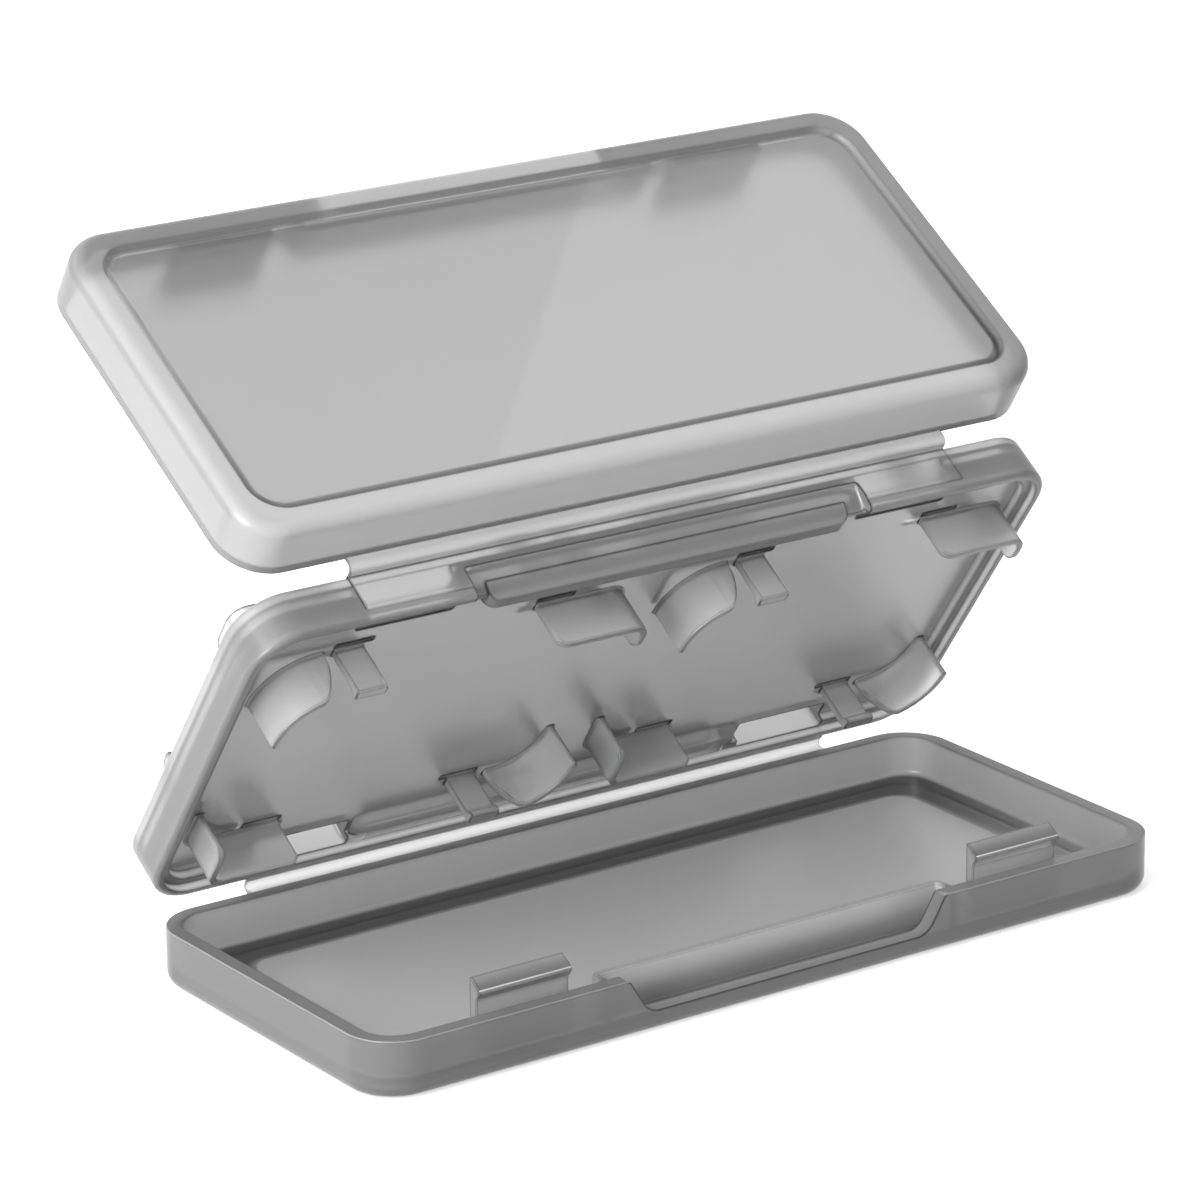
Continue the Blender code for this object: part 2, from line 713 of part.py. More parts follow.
def main():
    """Build the tray, the middle leaf and the cover from the bottom up."""
    clear_scene()
    material = make_material("smoke_polypropylene", (0.33, 0.33, 0.33), 0.38, 0.25)
    web_material = make_material("thin_polypropylene", (0.62, 0.62, 0.62), 0.35, 0.35)
    tray_y = (LEAF_DEPTH / 2 - rear_reach()) / 2
    tray = make_frame("tray_frame", location=(0.0, tray_y, 0.0))
    lower_hinge_place = (0.0, LEAF_DEPTH / 2 + HINGE_GAP, HINGE_HEIGHT)
    lower_hinge = make_frame("lower_hinge", tray, lower_hinge_place, math.pi - MIDDLE_OPENING)
    front = make_frame("front_face", lower_hinge, (0.0, HINGE_GAP, -CLOSED_GAP / 2))
    back_place = (0.0, HINGE_GAP + LEAF_DEPTH, -CLOSED_GAP / 2 - MIDDLE_THICKNESS)
    back = make_frame("back_face", lower_hinge, back_place, math.pi)
    upper_place = (0.0, LEAF_DEPTH + 2 * HINGE_GAP, -CLOSED_GAP - MIDDLE_THICKNESS)
    cover_turn = COVER_ANGLE - (math.pi - MIDDLE_OPENING)
    upper_hinge = make_frame("upper_hinge", lower_hinge, upper_place, cover_turn)
    cover_place = (0.0, HINGE_GAP + LEAF_DEPTH / 2, CLOSED_GAP / 2 + SHELL_HEIGHT)
    cover = make_frame("cover_frame", upper_hinge, cover_place, math.pi)

    meshes = {
        "shell": shell_mesh(),
        "notch": notch_mesh(),
        "guard": guard_mesh(),
        "catch": catch_mesh(),
    }
    build_shell("tray", tray, meshes, material)
    web_frame = make_frame("tray_web_frame", tray, lower_hinge_place)
    build_web("tray_hinge_web", web_frame, math.pi - MIDDLE_OPENING, web_material)

    build_middle_plate(front, back, material)
    tongue = tongue_mesh()
    make_piece("front_thumb_tongue", tongue, front, material)
    make_piece("back_thumb_tongue", tongue, back, material)
    build_clips(front, back, material)

    build_shell("cover", cover, meshes, material)
    cover_web_frame = make_frame("cover_web_frame", lower_hinge, upper_place)
    build_web("cover_hinge_web", cover_web_frame, cover_turn, web_material)


main()
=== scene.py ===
"""Looks of a pocket case for four small game cards, moulded in smoke-grey translucent polypropylene.

The tray, the middle leaf and the cover are each one thin moulding with soft edges, joined by two
living hinges that bend as the case folds. Every size is in metres, written in millimetres, and each
leaf is built in its own frame: X along the hinge, Y across the leaf and Z out of its face.
"""
import json
import logging
import math
from dataclasses import dataclass, field, replace
from enum import Enum
from typing import Callable, Sequence

import bmesh
import bpy
from mathutils import Matrix, Vector


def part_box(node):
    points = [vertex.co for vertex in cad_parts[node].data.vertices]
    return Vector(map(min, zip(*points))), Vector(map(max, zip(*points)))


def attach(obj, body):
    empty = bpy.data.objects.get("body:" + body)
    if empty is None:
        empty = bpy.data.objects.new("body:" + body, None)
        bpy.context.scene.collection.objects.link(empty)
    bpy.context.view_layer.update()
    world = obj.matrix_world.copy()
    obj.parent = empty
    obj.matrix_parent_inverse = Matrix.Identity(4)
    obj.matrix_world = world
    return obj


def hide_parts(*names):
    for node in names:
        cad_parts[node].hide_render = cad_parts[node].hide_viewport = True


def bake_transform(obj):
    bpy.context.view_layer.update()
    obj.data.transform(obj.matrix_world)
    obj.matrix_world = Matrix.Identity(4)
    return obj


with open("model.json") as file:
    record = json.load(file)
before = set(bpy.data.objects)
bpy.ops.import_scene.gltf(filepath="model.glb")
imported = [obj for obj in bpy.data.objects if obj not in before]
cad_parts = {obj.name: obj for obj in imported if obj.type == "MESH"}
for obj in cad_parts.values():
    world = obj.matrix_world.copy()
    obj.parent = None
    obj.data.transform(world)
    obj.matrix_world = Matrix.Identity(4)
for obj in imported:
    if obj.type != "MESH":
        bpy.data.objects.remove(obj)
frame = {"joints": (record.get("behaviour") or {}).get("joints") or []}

MM = 0.001
# Places closer than this count as one.
NEAR = 0.01 * MM
# Cutters reach this far past the face that they open.
OVERCUT = 1.0 * MM
LOG = logging.getLogger("card_case")

Corner = tuple[float, float, float]
Section = list[tuple[float, float]]


class Operation(Enum):
    """How one solid is combined with another."""

    UNION = "UNION"
    DIFFERENCE = "DIFFERENCE"


class Zone(Enum):
    """Part of a moulding's skin with its own look, kept as a weight on each point; all but the polished
    panel carry painted light and painted shade.
    """

    POLISHED = "polished_panel"
    # Painted shade in the floor's channel and on the catches' sloping tops.
    CLEAR = "clear_dark_face"
    # Painted light: the thin strips where the hinges run in are painted paler, as light shining through
    # them.
    STRIP_LIGHT = "coined_strip"
    # Painted light: faces, clips, catches, guard wall and the tray's field painted paler.
    FINE = "fine_grained_core_side"
    # Painted shade along the bottom of the groove round the panel.
    GROOVE_SHADE = "groove_round_panel"
    # Painted highlight: a white line along the rim's outer edge and the catches' lips.
    EDGE_HIGHLIGHT = "whitened_edge"


class Side(Enum):
    """Left or right of the case, as its sign along X."""

    LEFT = -1
    RIGHT = 1


# Shapes


def rounded(corners: Sequence[Corner], steps: int, is_closed: bool = True) -> list[Vector]:
    """Replace the corners of a plan by arcs.

    Args:
        corners: the plan's corners as (x, y, radius).
        steps: number of chords in each arc.
        is_closed: False for an open path, whose two ends stay as they are.

    Returns:
        The points along the plan.
    """
    outline: list[Vector] = []
    count = len(corners)
    for index, (x, y, radius) in enumerate(corners):
        corner = Vector((x, y))
        is_end = not is_closed and index in (0, count - 1)
        if radius <= 0.0 or is_end:
            outline.append(corner)
            continue
        back = (Vector(corners[index - 1][:2]) - corner).normalized()
        ahead = (Vector(corners[(index + 1) % count][:2]) - corner).normalized()
        half = back.angle(ahead) / 2
        centre = corner + (back + ahead).normalized() * radius / math.sin(half)
        first = corner + back * radius / math.tan(half) - centre
        last = corner + ahead * radius / math.tan(half) - centre
        sweep = math.atan2(first.cross(last), first.dot(last))
        for step in range(steps + 1):
            turn = Matrix.Rotation(sweep * step / steps, 2)
            outline.append(centre + turn @ first)
    return outline


def inset_outline(outline: Sequence[Vector], distance: float) -> list[Vector]:
    """Draw a closed outline in by a small distance.

    Args:
        outline: points of the outline, counter-clockwise.
        distance: how far to draw it in.

    Returns:
        As many points, moved along the outline's inward normals.
    """
    moved = []
    count = len(outline)
    for index, point in enumerate(outline):
        before = (point - outline[index - 1]).normalized()
        after = (outline[(index + 1) % count] - point).normalized()
        normal = Vector((-before.y - after.y, before.x + after.x)).normalized()
        stretch = 1.0 / max(0.5, math.cos(before.angle(after) / 2))
        moved.append(point + normal * distance * stretch)
    return moved


def mitred_normals(path: Sequence[Vector]) -> list[Vector]:
    """Return the left-hand normals of an open path, longer where it bends."""
    normals = []
    for index in range(len(path)):
        before = path[max(index, 1)] - path[max(index, 1) - 1]
        following = min(index, len(path) - 2)
        after = path[following + 1] - path[following]
        half = before.angle(after) / 2
        heading = before.normalized() + after.normalized()
        normals.append(Vector((-heading.y, heading.x)).normalized() / math.cos(half))
    return normals


def quarter_turns(steps: int) -> list[float]:
    """Angles from nought to a quarter turn."""
    return [math.pi / 2 * step / steps for step in range(steps + 1)]


def oblong(left: float, low: float, right: float, high: float, radius: float) -> list[Corner]:
    """Return the corners of an oblong, counter-clockwise from the lower left one."""
    return [(left, low, radius), (right, low, radius), (right, high, radius), (left, high, radius)]


class SolidBuilder:
    """Collects closed lofted bodies and turns them into one mesh."""

    def __init__(self) -> None:
        """Start with nothing."""
        self.shape = bmesh.new()

    def loft(self, sections: Sequence[Sequence[Sequence[float]]]) -> None:
        """Add one closed body through a row of loops with as many points each.

        Args:
            sections: loops of points in space; the first and the last are capped.
        """
        loops = [[self.shape.verts.new(point) for point in section] for section in sections]
        for low, high in zip(loops, loops[1:]):
            for index in range(len(low)):
                after = (index + 1) % len(low)
                self.shape.faces.new((low[index], low[after], high[after], high[index]))
        self.shape.faces.new(loops[0])
        self.shape.faces.new(loops[-1])

    def bar(self, outline: Sequence[Vector], half_length: float, centre: float, edge: float) -> None:
        """Add a bar along X with rounded end edges.

        Args:
            outline: its section as points (y, z), counter-clockwise.
            half_length: half of its length.
            centre: its middle along X.
            edge: radius of the rounding at its two ends.
        """
        stations = []
        for turn in quarter_turns(3):
            stations.append((half_length - edge * (1 - math.sin(turn)), edge * (1 - math.cos(turn))))
        left = [(centre - reach, inset) for reach, inset in reversed(stations)]
        right = [(centre + reach, inset) for reach, inset in stations]
        loops = []
        for x, inset in left + right:
            drawn = inset_outline(outline, inset)
            loops.append([(x, point.x, point.y) for point in drawn])
        self.loft(loops)

    def domed_bar(self, outline: Sequence[Vector], half_length: float, fall: float,
                  loss: float = 0.85) -> None:
        """Add a bar along X whose height falls away in a quarter round at both ends.

        Args:
            outline: its section as points (y, z), counter-clockwise.
            half_length: half of its length.
            fall: length of the falling part.
            loss: share of the height that is gone at the very end.
        """
        low = min(point.y for point in outline)
        right = []
        for turn in quarter_turns(5):
            reach = half_length - fall * (1 - math.sin(turn))
            right.append((reach, 1 - loss * (1 - math.cos(turn))))
        loops = []
        for x, share in [(-reach, share) for reach, share in reversed(right)] + right:
            loops.append([(x, point.x, low + (point.y - low) * share) for point in outline])
        self.loft(loops)

    def mesh(self, name: str) -> bpy.types.Mesh:
        """Return all that was added as a mesh whose faces point outward."""
        bmesh.ops.recalc_face_normals(self.shape, faces=self.shape.faces[:])
        made = bpy.data.meshes.new(name)
        self.shape.to_mesh(made)
        self.shape.free()
        return made


def add_object(name: str, data: bpy.types.ID) -> bpy.types.Object:
    """Put a mesh, a lamp or a camera into the scene as an object."""
    thing = bpy.data.objects.new(name, data)
    bpy.context.scene.collection.objects.link(thing)
    return thing


def combine(mesh: bpy.types.Mesh, tool: bpy.types.Mesh, operation: Operation) -> bpy.types.Mesh:
    """Join a solid with another one, or cut it.

    Args:
        mesh: the solid that is changed.
        tool: the solid that is added or taken away.
        operation: which of the two.

    Returns:
        A new mesh; both given ones are removed.
    """
    pair = [add_object(data.name, data) for data in (mesh, tool)]
    modifier = pair[0].modifiers.new("combine", "BOOLEAN")
    modifier.operation = operation.value
    modifier.solver = "EXACT"
    modifier.object = pair[1]
    graph = bpy.context.evaluated_depsgraph_get()
    made = bpy.data.meshes.new_from_object(pair[0].evaluated_get(graph))
    made.name = mesh.name
    for thing, data in zip(pair, (mesh, tool)):
        bpy.data.objects.remove(thing)
        bpy.data.meshes.remove(data)
    return made


def tidy_surface(mesh: bpy.types.Mesh, weld: float = 0.002 * MM, crease: float = 34.0) -> None:
    """Weld stray points, shade the soft edges smooth and mark the sharp ones.

    Args:
        mesh: the mesh to tidy.
        weld: distance under which two points are one.
        crease: angle in degrees above which an edge stays sharp.
    """
    shape = bmesh.new()
    shape.from_mesh(mesh)
    bmesh.ops.remove_doubles(shape, verts=shape.verts[:], dist=weld)
    bmesh.ops.dissolve_degenerate(shape, edges=shape.edges[:], dist=weld / 2)
    shape.to_mesh(mesh)
    shape.free()
    mesh.shade_smooth()
    mesh.set_sharp_from_angle(angle=math.radians(crease))


def mark_zone(mesh: bpy.types.Mesh, zone: Zone, weight: Callable[[Vector], float]) -> None:
    """Store how far each point of a moulding belongs to one zone of its skin.

    Args:
        mesh: the moulding's mesh in the leaf's frame.
        zone: the zone.
        weight: gives the share, from 0 to 1, for a point's place.
    """
    layer = mesh.attributes.new(zone.value, "FLOAT", "POINT")
    for vertex in mesh.vertices:
        layer.data[vertex.index].value = weight(vertex.co)


def add_moulding(name: str, mesh: bpy.types.Mesh, place: Matrix) -> bpy.types.Object:
    """Put a finished moulding into the scene, with flat faces that shade flat.

    Args:
        name: the piece's name.
        mesh: its mesh in the leaf's frame.
        place: the leaf's frame in the case's frame.

    Returns:
        The piece, with its place in its mesh.
    """
    tidy_surface(mesh)
    mesh.transform(place)
    piece = add_object(name, mesh)
    modifier = piece.modifiers.new("weighted", "WEIGHTED_NORMAL")
    modifier.mode = "FACE_AREA"
    modifier.keep_sharp = True
    graph = bpy.context.evaluated_depsgraph_get()
    made = bpy.data.meshes.new_from_object(
        piece.evaluated_get(graph), preserve_all_data_layers=True, depsgraph=graph
    )
    made.name = name
    piece.modifiers.clear()
    piece.data = made
    bpy.data.meshes.remove(mesh)
    return piece


# Where the leaves stand


@dataclass
class LeafPlan:
    """Plan that the three leaves share: a rounded oblong about its middle."""

    width: float = 77.0 * MM
    depth: float = 32.9 * MM
    corner: float = 4.2 * MM
    corner_steps: int = 12

    def ring(self, inset: float, height: float, corner: float, middle: float = 0.0) -> list[Corner]:
        """Draw the plan in and lay it at a height.

        Args:
            inset: how far it is drawn in.
            height: height of the loop.
            corner: radius of its corners.
            middle: place of its middle along Y.

        Returns:
            The loop's points.
        """
        half_x = self.width / 2 - inset
        half_y = self.depth / 2 - inset
        corners = [
            (half_x, half_y, corner),
            (-half_x, half_y, corner),
            (-half_x, -half_y, corner),
            (half_x, -half_y, corner),
        ]
        outline = rounded(corners, self.corner_steps)
        return [(point.x, point.y + middle, height) for point in outline]

    def inner_corner(self, inset: float) -> float:
        """Corner radius that keeps a wall as thick round the corner as along the side."""
        return max(self.corner - inset, self.corner / 4)

    def inset_at(self, place: Vector, radius: float) -> float:
        """Return how far inside the plan's edge a place lies, past round corners as well."""
        past_x = abs(place.x) - self.width / 2 + radius
        past_y = abs(place.y) - self.depth / 2 + radius
        if min(past_x, past_y) > 0.0:
            return radius - math.hypot(past_x, past_y)
        return radius - max(past_x, past_y)


@dataclass
class CaseFrames:
    """Frames of the leaves in the open case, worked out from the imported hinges."""

    plan: LeafPlan
    shell_height: float
    hinge_gap: float = 0.8 * MM
    closed_gap: float = 0.2 * MM

    def __post_init__(self) -> None:
        """Read the two hinges and the tray's place."""
        joints = {joint["name"]: joint for joint in frame["joints"]}
        self.lower_opening = math.radians(-joints["lower_hinge"]["range_deg"][0])
        self.upper_opening = math.radians(-joints["upper_hinge"]["range_deg"][0])
        self.lower_hinge = Vector(joints["lower_hinge"]["pos_m"])
        self.upper_hinge = Vector(joints["upper_hinge"]["pos_m"])
        low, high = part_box("tray_shell")
        self.tray = Matrix.Translation((0.0, (low.y + high.y) / 2, 0.0))
        leaf_turn = Matrix.Rotation(math.pi - self.lower_opening, 4, "X")
        self.leaf = Matrix.Translation(self.lower_hinge) @ leaf_turn
        self.front = self.leaf @ Matrix.Translation((0.0, self.hinge_gap, -self.closed_gap / 2))
        cover_turn = Matrix.Rotation(self.upper_opening - self.lower_opening, 4, "X")
        across = self.hinge_gap + self.plan.depth / 2
        up = self.closed_gap / 2 + self.shell_height
        half_turn = Matrix.Rotation(math.pi, 4, "X")
        hinge = Matrix.Translation(self.upper_hinge) @ cover_turn
        self.cover = hinge @ Matrix.Translation((0.0, across, up)) @ half_turn


# Tray and cover


@dataclass
class ShellMoulding:
    """The moulding that serves as tray and, turned over, as cover. Its underside is at Z = 0."""

    plan: LeafPlan
    height: float = 4.8 * MM
    wall: float = 1.4 * MM
    floor: float = 1.4 * MM
    edge_round: float = 1.2 * MM
    rim_outer_round: float = 0.1 * MM
    rim_inner_round: float = 0.2 * MM
    foot_round: float = 0.5 * MM
    field_margin: float = 4.0 * MM
    field_rise: float = 0.12 * MM
    field_slope: float = 1.3 * MM
    field_corner: float = 3.0 * MM
    panel_inset: float = 2.1 * MM
    panel_depth: float = 0.35 * MM
    panel_blend: float = 1.0 * MM
    panel_groove: float = 0.14 * MM
    panel_corner: float = 3.0 * MM
    notch_half_top: float = 15.45 * MM
    notch_half_base: float = 13.6 * MM
    notch_depth: float = 3.0 * MM
    notch_foot: float = 1.8 * MM
    notch_lip: float = 0.55 * MM
    guard_setback: float = 2.6 * MM
    guard_wall: float = 0.6 * MM
    guard_half: float = 16.55 * MM
    guard_corner: float = 0.6 * MM
    guard_sink: float = 0.15 * MM
    guard_top_gap: float = 0.02 * MM
    guard_top_round: float = 0.16 * MM
    guard_flare: float = 0.2 * MM
    catch_width: float = 8.5 * MM
    catch_centre: float = 24.0 * MM
    catch_setback: float = 2.0 * MM
    catch_wall: float = 0.9 * MM
    catch_rise: float = 2.6 * MM
    catch_back_round: float = 0.14 * MM
    catch_end_round: float = 0.09 * MM
    catch_flare: float = 0.35 * MM
    catch_sink: float = 0.3 * MM
    catch_lip: float = 0.5 * MM
    catch_lip_rise: float = 1.75 * MM
    catch_lip_front: float = 0.32 * MM
    catch_lip_root: float = 0.95 * MM
    catch_lip_round: float = 0.07 * MM
    catch_throat_round: float = 0.6 * MM
    # Looks of its zones: how wide a painted highlight line is beside its edge, and how strong each painted
    # highlight and painted shade is.
    line_margin: float = 0.04 * MM
    zone_margin: float = 0.1 * MM
    zone_foot: float = 0.3 * MM
    rim_highlight_share: float = 0.22
    lip_highlight_share: float = 0.6
    catch_top_shade_share: float = 0.3
    far_groove_shade_share: float = 0.3
    # Chords of each round stretch.
    panel_steps: int = 12
    edge_steps: int = 8
    rim_steps: int = 4
    foot_steps: int = 5
    field_steps: int = 8
    notch_steps: int = 7
    catch_steps: int = 4

    @property
    def front(self) -> float:
        """Place of the front wall's outer face along Y."""
        return -self.plan.depth / 2

    @property
    def lip_place(self) -> tuple[float, float]:
        """Place of the catches' lip edge along Y, and its height."""
        return self.front + self.catch_setback - self.catch_lip, self.height + self.catch_lip_rise

    @property
    def has_field(self) -> bool:
        """Whether the field of the floor stands high enough to be seen."""
        return self.field_rise > NEAR

    def panel_rings(self) -> list[list[Corner]]:
        """Loops of the underside, from the flat of its recessed panel out through the groove."""
        loops = []
        for step in range(self.panel_steps + 1):
            share = step / self.panel_steps
            inset = self.panel_inset + self.panel_blend * (1 - share)
            bank = 0.5 - 0.5 * math.cos(math.pi * min(1.0, 2 * share))
            ramp = 0.5 + 0.5 * math.cos(math.pi * max(0.0, 2 * share - 1))
            depth = self.panel_depth * ramp + self.panel_groove * bank * ramp
            corner = self.panel_corner + (share - 1) * self.panel_blend
            loops.append(self.plan.ring(inset, depth, corner))
        return loops

    def wall_rings(self) -> list[list[Corner]]:
        """Loops round the outer edge, up the wall and over the rim."""
        plan = self.plan
        loops = []
        for turn in quarter_turns(self.edge_steps):
            inset = self.edge_round * (1 - math.sin(turn))
            rise = self.edge_round * (1 - math.cos(turn))
            loops.append(plan.ring(inset, rise, plan.corner - inset))
        # The loops beside the rim's outer edge keep its painted highlight line narrow.
        beside = self.rim_outer_round + self.line_margin
        loops.append(plan.ring(0.0, self.height - beside, plan.corner))
        for turn in quarter_turns(self.rim_steps):
            inset = self.rim_outer_round * (1 - math.cos(turn))
            top = self.height - self.rim_outer_round * (1 - math.sin(turn))
            loops.append(plan.ring(inset, top, plan.corner - inset))
        loops.append(plan.ring(beside, self.height, plan.corner - beside))
        for turn in quarter_turns(self.rim_steps):
            inset = self.wall - self.rim_inner_round * (1 - math.sin(turn))
            top = self.height - self.rim_inner_round * (1 - math.cos(turn))
            loops.append(plan.ring(inset, top, plan.inner_corner(inset)))
        return loops

    def floor_rings(self) -> list[list[Corner]]:
        """Loops round the foot of the wall and in over the floor to its raised field."""
        plan = self.plan
        loops = []
        for turn in quarter_turns(self.foot_steps):
            inset = self.wall + self.foot_round * (1 - math.cos(turn))
            rise = self.floor + self.foot_round * (1 - math.sin(turn))
            loops.append(plan.ring(inset, rise, plan.inner_corner(inset)))
        for step in range(self.field_steps + 1):
            share = step / self.field_steps
            inset = self.wall + self.field_margin + self.field_slope * (share - 0.5)
            rise = self.floor + self.field_rise * (1 - math.cos(math.pi * share)) / 2
            loops.append(plan.ring(inset, rise, self.field_corner - self.field_slope * share))
        return loops

    def body(self) -> bpy.types.Mesh:
        """Return the open box with its rounded outer edge and recessed panel."""
        solid = SolidBuilder()
        solid.loft(self.panel_rings() + self.wall_rings() + self.floor_rings())
        return solid.mesh("shell")

    def notch(self) -> bpy.types.Mesh:
        """Return the cutter for the thumb notch, splayed, with round feet and soft lips."""
        sill = self.height - self.notch_depth
        above = self.height + OVERCUT
        far = self.notch_half_top + 2 * OVERCUT
        corners = [
            (far, above, 0.0),
            (-far, above, 0.0),
            (-far, self.height, 0.0),
            (-self.notch_half_top, self.height, self.notch_lip),
            (-self.notch_half_base, sill, self.notch_foot),
            (self.notch_half_base, sill, self.notch_foot),
            (self.notch_half_top, self.height, self.notch_lip),
            (far, self.height, 0.0),
        ]
        outline = rounded(corners, self.notch_steps)
        solid = SolidBuilder()
        reach = (self.front - OVERCUT, self.front + self.wall + self.foot_round)
        solid.loft([[(point.x, y, point.y) for point in outline] for y in reach])
        return solid.mesh("notch")

    def guard(self) -> bpy.types.Mesh:
        """Return the thin guard wall behind the notch, with its return at each end."""
        middle = self.front + self.guard_setback + self.guard_wall / 2
        half = self.guard_half + self.guard_wall / 2
        seat = self.front + self.wall - self.guard_sink
        corners = [
            (-half, seat, 0.0),
            (-half, middle, self.guard_corner),
            (half, middle, self.guard_corner),
            (half, seat, 0.0),
        ]
        wall = UprightWall(
            corners=corners,
            thickness=self.guard_wall,
            foot=self.floor,
            top_at=lambda _along, _whole: self.height - self.guard_top_gap,
            top_round=self.guard_top_round,
            flare=self.guard_flare,
            end_round=0.0,
        )
        solid = SolidBuilder()
        solid.loft(wall.sections())
        return solid.mesh("guard")

    def catches(self) -> bpy.types.Mesh:
        """Return both snap catches: upright plates whose sloping tops end in a forward lip."""
        lip, lip_top = self.lip_place
        plate = self.front + self.catch_setback
        rear = plate + self.catch_wall
        top = self.height + self.catch_rise
        flare = self.catch_flare
        seat = self.floor - self.catch_sink
        # The points beside the lip's edge keep its painted highlight line narrow.
        beside = self.catch_lip_round + self.line_margin
        along = Vector((rear - lip, top - lip_top)).normalized()
        corners = [
            (plate - flare, seat, 0.0),
            (rear + flare, seat, 0.0),
            (rear + flare, self.floor, 0.0),
            (rear, self.floor + flare, flare),
            (rear, top, self.catch_back_round),
            (lip + along.x * beside, lip_top + along.y * beside, 0.0),
            (lip, lip_top, self.catch_lip_round),
            (lip, lip_top - beside, 0.0),
            (lip, lip_top - self.catch_lip_front, self.catch_lip_round),
            (plate, lip_top - self.catch_lip_root, self.catch_throat_round),
            (plate, self.floor + flare, flare),
            (plate - flare, self.floor, 0.0),
        ]
        outline = rounded(corners, self.catch_steps)
        solid = SolidBuilder()
        for side in Side:
            centre = side.value * self.catch_centre
            solid.bar(outline, self.catch_width / 2, centre, self.catch_end_round)
        return solid.mesh("catches")

    def mesh(self) -> bpy.types.Mesh:
        """Return the whole moulding in its own frame."""
        made = combine(self.body(), self.notch(), Operation.DIFFERENCE)
        made = combine(made, self.guard(), Operation.UNION)
        return combine(made, self.catches(), Operation.UNION)

    def build(self, name: str, place: Matrix, finish: bpy.types.Material,
              has_channel: bool) -> bpy.types.Object:
        """Build one shell and dress it.

        Args:
            name: name of the piece.
            place: the shell's frame in the case's frame.
            finish: its material.
            has_channel: whether the channel round the floor and the catches' tops get painted shade.

        Returns:
            The shell as one piece.
        """
        # Besides the polished panel, these zones carry painted light and painted shade.
        weights = {
            Zone.POLISHED: self.panel_weight,
            Zone.FINE: self.upright_weight,
            Zone.GROOVE_SHADE: self.groove_shade_weight,
            Zone.EDGE_HIGHLIGHT: self.edge_highlight_weight,
        }
        if has_channel:
            weights[Zone.CLEAR] = self.channel_shade_weight
        mesh = self.mesh()
        for zone, weight in weights.items():
            mark_zone(mesh, zone, weight)
        piece = add_moulding(name, mesh, place)
        piece.data.materials.append(finish)
        return piece

    def is_within(self, place: Vector, margin: float) -> bool:
        """Whether a place lies further than a margin inside all four sides."""
        from_side = self.plan.width / 2 - abs(place.x)
        from_edge = self.plan.depth / 2 - abs(place.y)
        return min(from_side, from_edge) > margin

    def panel_weight(self, place: Vector) -> float:
        """Return 1 on the rim of the recessed panel's flat, and so over the whole flat."""
        is_under = place.z < self.floor / 2
        return float(is_under and self.is_within(place, self.panel_inset + self.panel_blend - NEAR))

    def groove_shade_weight(self, place: Vector) -> float:
        """Return the painted shade, 1 at the bottom of the groove round the panel, less on the side of the
        notch.
        """
        radius = self.panel_corner + self.panel_inset
        share = (self.plan.inset_at(place, radius) - self.panel_inset) / self.panel_blend
        if place.z > self.floor / 2 or not 0.0 < share < 1.0:
            return 0.0
        is_far = place.y < self.front + radius
        return math.sin(math.pi * share) ** 0.5 * (self.far_groove_shade_share if is_far else 1.0)

    def upright_weight(self, place: Vector) -> float:
        """Return 1 on the guard wall, the catches and the field of the floor, which are painted paler as
        painted light.
        """
        from_front = place.y - self.front
        back = self.guard_setback + self.guard_wall + self.zone_margin
        side = self.catch_centre + self.catch_width / 2 + self.zone_margin
        is_upright = self.wall + self.foot_round < from_front < back and abs(place.x) < side
        if is_upright and place.z > self.floor + self.zone_foot:
            return 1.0
        is_level = abs(place.z - self.floor - self.field_rise) < 2 * NEAR
        is_field = self.has_field and is_level
        return float(is_field and self.is_within(place, self.wall + self.field_margin))

    def channel_shade_weight(self, place: Vector) -> float:
        """Return how much painted shade a place gets, on the catches' sloping tops and in the floor's
        channel.

        Args:
            place: a place in the shell's frame.

        Returns:
            The share, which falls to nought up to the field and in front of it.
        """
        if place.z > self.height + self.catch_lip_rise + self.line_margin / 2:
            return self.catch_top_shade_share
        if place.y - self.front < self.wall + self.field_margin + self.plan.corner:
            return 0.0
        return max(0.0, 1.0 - abs(place.z - self.floor) / self.field_rise)

    def edge_highlight_weight(self, place: Vector) -> float:
        """Return how much painted highlight a place gets, on the rim's outer edge and on the catches' lips.
        """
        reach = self.rim_outer_round + self.line_margin / 5
        is_high = abs(place.z - self.height) < reach
        if is_high and self.plan.inset_at(place, self.plan.corner) < reach:
            return self.rim_highlight_share
        lip, lip_top = self.lip_place
        is_lip = math.hypot(place.y - lip, place.z - lip_top) < self.catch_lip_round
        return self.lip_highlight_share if is_lip else 0.0


